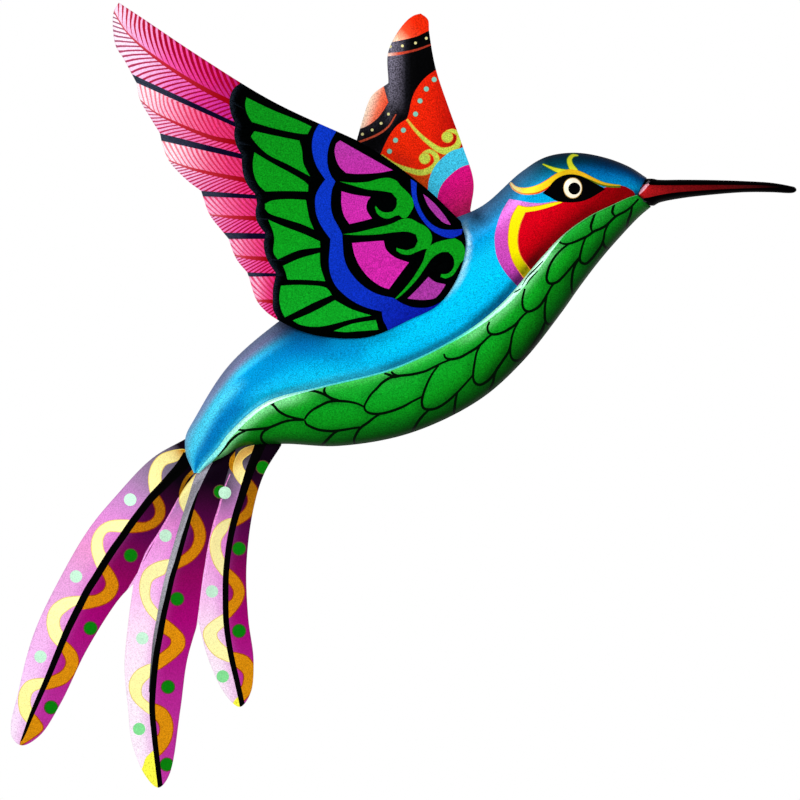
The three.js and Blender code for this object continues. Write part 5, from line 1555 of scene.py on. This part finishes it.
# Painted highlight on the raised edge at the bill's base
BILL_HIGHLIGHT = ([(242.6, 229.4), (240.4, 227), (238.2, 224.8)], (1.0, 1.2, 0.8))
BILL_MIDDLE = (270, 228)
BILL_GREY = ([(243, 230.4), (241.8, 229.2)], (0.8, 0.6))


def bill_paints():
    paints = plain("bill_black", ring(BILL_MIDDLE, BILL_GROUND)) + shapes("bill_red", [BILL_RED])
    return paints + plain("bill_highlight", stroke(*BILL_HIGHLIGHT)) + plain("bill_grey", stroke(*BILL_GREY))


# Outlines and lines that the pieces share
def station_line(k, steps=NET_STEPS):
    return spline([row[k] for row in BODY_STATIONS], steps)


BODY_OUTLINE = without_doubles(np.vstack([station_line(0), station_line(1)[-1:], station_line(2)[::-1],
                                          station_line(1)[:1]]))
BILL_OUTLINE = without_doubles(np.vstack([spline([row[0] for row in BILL_STATIONS], NET_STEPS),
                                          spline([row[1] for row in BILL_STATIONS], NET_STEPS)[::-1]]))
NEAR_EDGE = joined_runs(NEAR_OUTLINE, OUTLINE_STEPS)
FAR_EDGE = joined_runs(FAR_OUTLINE, OUTLINE_STEPS)
TAIL_EDGE = joined_runs(TAIL_OUTLINE, OUTLINE_STEPS)
# Painted shadows and highlights, laid on as soft strokes: attribute, line, reach, strength
BODY_BRUSHES = [
    ("shade", [(92, 177), (100, 176), (110, 172.5), (124, 170.5)], 4.6, 0.7),
    ("shade", [(124, 170.5), (142, 171), (150, 174)], 3.4, 0.35),
    ("shade", [(175.5, 218.5), (179, 215.5)], 2.8, 1.5),
    ("shade", [(199, 238), (206, 241), (215, 241.6), (226, 240), (236, 236), (242, 232)], 3.4, 0.85),
    ("shade", [(238.4, 232), (240, 226.5)], 1.6, 0.5),
    ("sheen", [(172.6, 214), (174.2, 206), (171.4, 194.5), (165.6, 186.6)], 0.8, 0.8),
    # Painted shade along the neck's back edge
    ("neck_shade", [(180, 220.5), (187, 228), (196, 235.5)], 2.4, 0.5),
    # Painted shade: deeper blue along the rump, and below the near wing where its shadow falls
    ("deep", [(71.5, 124.5), (74.8, 130.5), (78.4, 135.5), (82.4, 140), (87.4, 144.6), (91, 147)], 3.4, 0.85),
    ("deep", [(106, 169), (117, 165.5), (128, 165), (137, 167)], 5.0, 0.6),
    # Painted highlight: a bright stripe along the rump
    ("rump_highlight", [(69, 126.4), (71, 130.8), (73.4, 135.5), (76.2, 140.6), (80, 145.8), (84.6, 150.8),
              (88, 153.6)], 1.7, 0.7),
    # Painted sheen: grey-violet along the rump's back edge
    ("violet", [(77, 150), (83, 159), (96, 172), (103, 177.5)], 2.4, 0.75),
    ("belly_shade", [(84, 127.2), (104, 130.4), (125, 129.6), (152, 134.8), (178, 147.3), (194.5, 162),
                     (208.5, 180), (216.5, 191.3), (224.6, 201.7), (239, 217.2)], 2.2, 0.55),
    ("belly_shade", [(78, 123), (81, 125.2), (86, 127.6)], 3.2, 0.6),
]
# Light below the step and shadow above it: attribute, first and last x, distance below, reach, strength
STEP_BRUSHES = [
    ("gleam", 76, 112, 2.2, 1.9, 0.7),
    ("gleam", 100, 176, 1.2, 1.2, 0.13),
    ("gleam", 168, 208, 2.4, 1.5, 0.5),
    ("shade", 96, 140, -1.0, 1.0, 0.45),
    ("shade", 136, 179, -1.2, 1.2, 0.55),
    ("shade", 175, 204, -1.6, 1.6, 0.7),
    ("shade", 200, 226, -1.4, 2.2, 0.25),
]
SCALE_SHADE = (-1.5, -0.2)
SCALE_SHADE_REACH = 1.6
SCALE_SHADE_STRENGTH = 0.28
# Painted shade on the far wing: the black darkened over its lower part, and small shadows near the scroll and
# at the root
FAR_BRUSHES = [
    ("far_shade", [(130, 242.5), (138, 244.5), (145, 249), (149, 254), (152, 260)], 9, 1.0),
    ("shade", [(146, 240), (152, 236)], 2, 0.25),
    ("shade", [(176, 222), (170, 217)], 2, 0.3),
]
TAIL_BRUSHES = [
    ("shade", [(61, 132), (66, 129), (70, 124), (75, 120), (84, 125), (92, 128), (100, 131)], 4.6, 0.75),
    ("shade", [(60, 136), (64.5, 133.5), (66.5, 129)], 3.2, 1.3),
    ("shade", [(77, 122), (80.5, 114), (82, 106)], 4.4, 0.7),
    ("shade", [(97, 131), (99, 127), (100, 121)], 4.0, 1.0),
]
FLECK_REACH = 1.2
FLECK_STRENGTH = 0.35
BLUSH_REACH = 2.6
BLUSH_STRENGTH = 0.4
BLUSH_TOP = 104


def near_brushes():
    return [("fleck", run, FLECK_REACH, FLECK_STRENGTH) for run in WING_BORDER]


def body_brushes():
    brushes = list(BODY_BRUSHES)
    step = station_line(1)
    for key, first, last, below, reach, strength in STEP_BRUSHES:
        part = step[(step[:, 0] > first) & (step[:, 0] < last)]
        brushes.append((key, part - sides_of(part) * below, reach, strength))
    for line in SCALE_LINES:
        brushes.append(("belly_shade", np.array(line) + SCALE_SHADE, SCALE_SHADE_REACH, SCALE_SHADE_STRENGTH))
    return brushes


def tail_brushes():
    quills = [tail_rail(k) - (BLUSH_REACH / 2, 0) for k in range(1, len(TAIL_RAILS), 3)]
    return TAIL_BRUSHES + [("blush", line[line[:, 1] < BLUSH_TOP], BLUSH_REACH, BLUSH_STRENGTH)
                           for line in quills]


def step_band():
    """The pale light along the pressed step, on its green side."""
    line = station_line(1)
    marks, widths = zip(*STEP_LIGHT_WIDTHS)
    width = np.interp(line[:, 0], marks, widths)
    lower = line - sides_of(line) * width[:, None]
    return without_doubles(np.vstack([line, lower[::-1]]))


def step_creases():
    """Lines that the mesh keeps along the step, so that it stays crisp."""
    step = station_line(1)
    brinks = [brink_of(step, station_line(k)) for k in (0, 2)]
    return [mix(*brinks, share)[1:-1] for share in STEP_CREASE_SHARES]


def eye_boss(points):
    """How far the eye stands out, with its slopes."""
    way = (points - EYE) / (EYE_WIDTH / 2, EYE_HEIGHT / 2)
    dome = np.clip(1 - (way ** 2).sum(axis=1), 0, 1)
    slope = -2 * EYE_RISE * (dome > 0)
    return EYE_RISE * dome, slope * way[:, 0] / (EYE_WIDTH / 2), slope * way[:, 1] / (EYE_HEIGHT / 2)


def bill_tang():
    """The flat tongue of the bill that goes into the head."""
    root = mix(*BILL_STATIONS[0][:2], 0.5)
    behind = BILL_BACK + BILL_EDGE
    ends = [(root + (-TANG_IN_HEAD, -TANG_HEIGHT / 2), behind),
            (root + (TANG_IN_BILL, TANG_HEIGHT / 2), behind + TANG_DEPTH)]
    low, high = (to_metres(place[None], np.array([depth]))[0] for place, depth in ends)
    shape = bmesh.new()
    bmesh.ops.create_cube(shape, size=1)
    for corner in shape.verts:
        corner.co = Vector(mix(low, high, np.array(corner.co) + 0.5))
    bmesh.ops.bevel(shape, geom=shape.edges[:], offset=EDGE_ROUND * MM, segments=2, affect="EDGES")
    mesh = bpy.data.meshes.new("bill_tang")
    shape.to_mesh(mesh)
    shape.free()
    mesh.materials.append(PAINTS[BACK_PAINT])
    tang = placed("painted_bill_tang", mesh)
    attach(tang, "root")
    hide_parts("bill")


def metal_paint(name, code, metal, rough, brush):
    """Plated steel: brushed one way, with a soft mottle."""
    tree = material_tree(name)
    place = add(tree, "TexCoord").outputs["Object"]
    stretched = add(tree, "VectorMath", {0: place, 1: brush}, operation="MULTIPLY").outputs[0]
    lines = noise_over(tree, stretched, BRUSHED_SCALE, 2)
    colour = varied(tree, rgb(code)[:3], noise_over(tree, place, MOTTLE_SCALE, 2), *METAL_TONES)
    wire_shader(tree, colour, lines, NOISE_MARKS, rough, METAL_SPREAD, metal)


metal_paint("zinc_plate", "b4b8bc", 1.0, 0.34, (0.15, 1, 1))
metal_paint("zinc_fastener", "bcc0c4", 1.0, 0.28, (1, 1, 1))


def finish_cad_nodes():
    """The hardware behind the bird keeps its CAD shapes."""
    for name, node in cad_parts.items():
        if name in PAINTED_NODES:
            continue
        paint = {"back_strap": "strap_black", "hanger_plate": "zinc_plate"}.get(name, "zinc_fastener")
        for slot in node.material_slots:
            slot.material = PAINTS[paint]


PAINTED_NODES = ("body_shell", "bill", "near_wing", "far_wing", "tail_fan")
painted_sheet("body_shell", body_relief(), BODY_OUTLINE, body_paints(), thickness=SHEET, floor=RIM,
              holes=[ring(place, STUD_HOLE) for place in wing_studs()], creases=step_creases(),
              insets=BODY_INSETS, round_edge=0, boss=eye_boss,
              brushes=body_brushes())
painted_sheet("bill", bill_relief(), BILL_OUTLINE, bill_paints(), thickness=SHEET, floor=BILL_BACK,
              insets=BILL_INSETS, spacing=BILL_SPACING)
bill_tang()
painted_sheet("near_wing", near_relief(), NEAR_EDGE, near_wing_paints(), thickness=SHEET,
              creases=[rail for rail, pleat in near_rails() if pleat],
              brushes=near_brushes())
painted_sheet("far_wing", far_relief(), FAR_EDGE, far_wing_paints(), thickness=PLEATED_SHEET,
              holes=[ring(place, RIVET_HOLE) for place in along_strap(FAR_WING_RIVETS)],
              brushes=FAR_BRUSHES)
painted_sheet("tail_fan", tail_relief(), TAIL_EDGE, tail_paints(), thickness=PLEATED_SHEET,
              holes=[ring(place, RIVET_HOLE) for place in along_strap(TAIL_RIVETS)],
              creases=[tail_rail(k) for k in range(len(TAIL_RAILS))],
              brushes=tail_brushes())
finish_cad_nodes()

# Camera, floor and light
PICTURE_MIDDLE = (0.0204, -0.0579)
CAMERA_AWAY = 5.0
SHEETS_AT = -0.01
SENSOR = 36
VIEW_WIDTH = 0.304
FLOOR_DROP = 0.55
FLOOR_RADIUS = 8
FLOOR_SIDES = 96
FLOOR_GLOW = 0.15
FLOOR_ROUGH = 0.8
FLOOR_SCALE = 3
FLOOR_TONES = (0.97, 1)
SIGHT_END = 100
WORLD_LIGHT = 0.5
WORLD_GLOSS = 0.25
# Lights: place, size, power
LIGHTS = [
    ("key", (-0.9, -2.1, 1.0), 0.9, 27),
    ("fill", (1.6, -1.8, 0.3), 1.6, 9),
    ("back", (0.5, 1.9, 0.1), 1.2, 8),
]


def make_camera():
    camera = placed("camera", bpy.data.cameras.new("camera"))
    camera.location = (PICTURE_MIDDLE[0], SHEETS_AT - CAMERA_AWAY, PICTURE_MIDDLE[1])
    camera.rotation_euler = (math.pi / 2, 0, 0)
    camera.data.sensor_width = SENSOR
    camera.data.lens = SENSOR * CAMERA_AWAY / VIEW_WIDTH
    camera.data.clip_end = SIGHT_END
    bpy.context.scene.camera = camera


def make_floor():
    shape = bmesh.new()
    bmesh.ops.create_circle(shape, cap_ends=True, radius=FLOOR_RADIUS, segments=FLOOR_SIDES)
    mesh = bpy.data.meshes.new("floor")
    shape.to_mesh(mesh)
    shape.free()
    floor = placed("floor", mesh)
    floor.location = (0, 0, PICTURE_MIDDLE[1] - FLOOR_DROP)
    tree = material_tree("floor_pale")
    place = add(tree, "TexCoord").outputs["Object"]
    colour = varied(tree, rgb("f0f0ee")[:3], noise_over(tree, place, FLOOR_SCALE, 3), *FLOOR_TONES)
    shader = tree.nodes["Principled BSDF"]
    tree.links.new(colour, shader.inputs["Base Color"])
    shader.inputs["Roughness"].default_value = FLOOR_ROUGH
    shader.inputs["Emission Color"].default_value = (1, 1, 1, 1)
    shader.inputs["Emission Strength"].default_value = FLOOR_GLOW
    mesh.materials.append(PAINTS["floor_pale"])


def make_lights():
    for name, place, size, power in LIGHTS:
        light = placed(name, bpy.data.lights.new(name, "AREA"))
        light.location = place
        middle = Vector((PICTURE_MIDDLE[0], 0, PICTURE_MIDDLE[1]))
        light.rotation_euler = (middle - light.location).to_track_quat("-Z", "Y").to_euler()
        light.data.energy = power
        light.data.size = size
        light.visible_camera = False
    world = bpy.data.worlds.new("world")
    bpy.context.scene.world = world
    world.use_nodes = True
    tree = world.node_tree
    path = add(tree, "LightPath").outputs
    glossed = add(tree, "MapRange", {0: path["Is Glossy Ray"], 3: WORLD_LIGHT, 4: WORLD_GLOSS}).outputs[0]
    strength = add(tree, "MapRange", {0: path["Is Camera Ray"], 3: glossed, 4: 1.0}).outputs[0]
    tree.nodes["Background"].inputs["Color"].default_value = (1, 1, 1, 1)
    tree.links.new(strength, tree.nodes["Background"].inputs["Strength"])
    bpy.context.scene.view_settings.view_transform = "Standard"


make_camera()
make_floor()
make_lights()
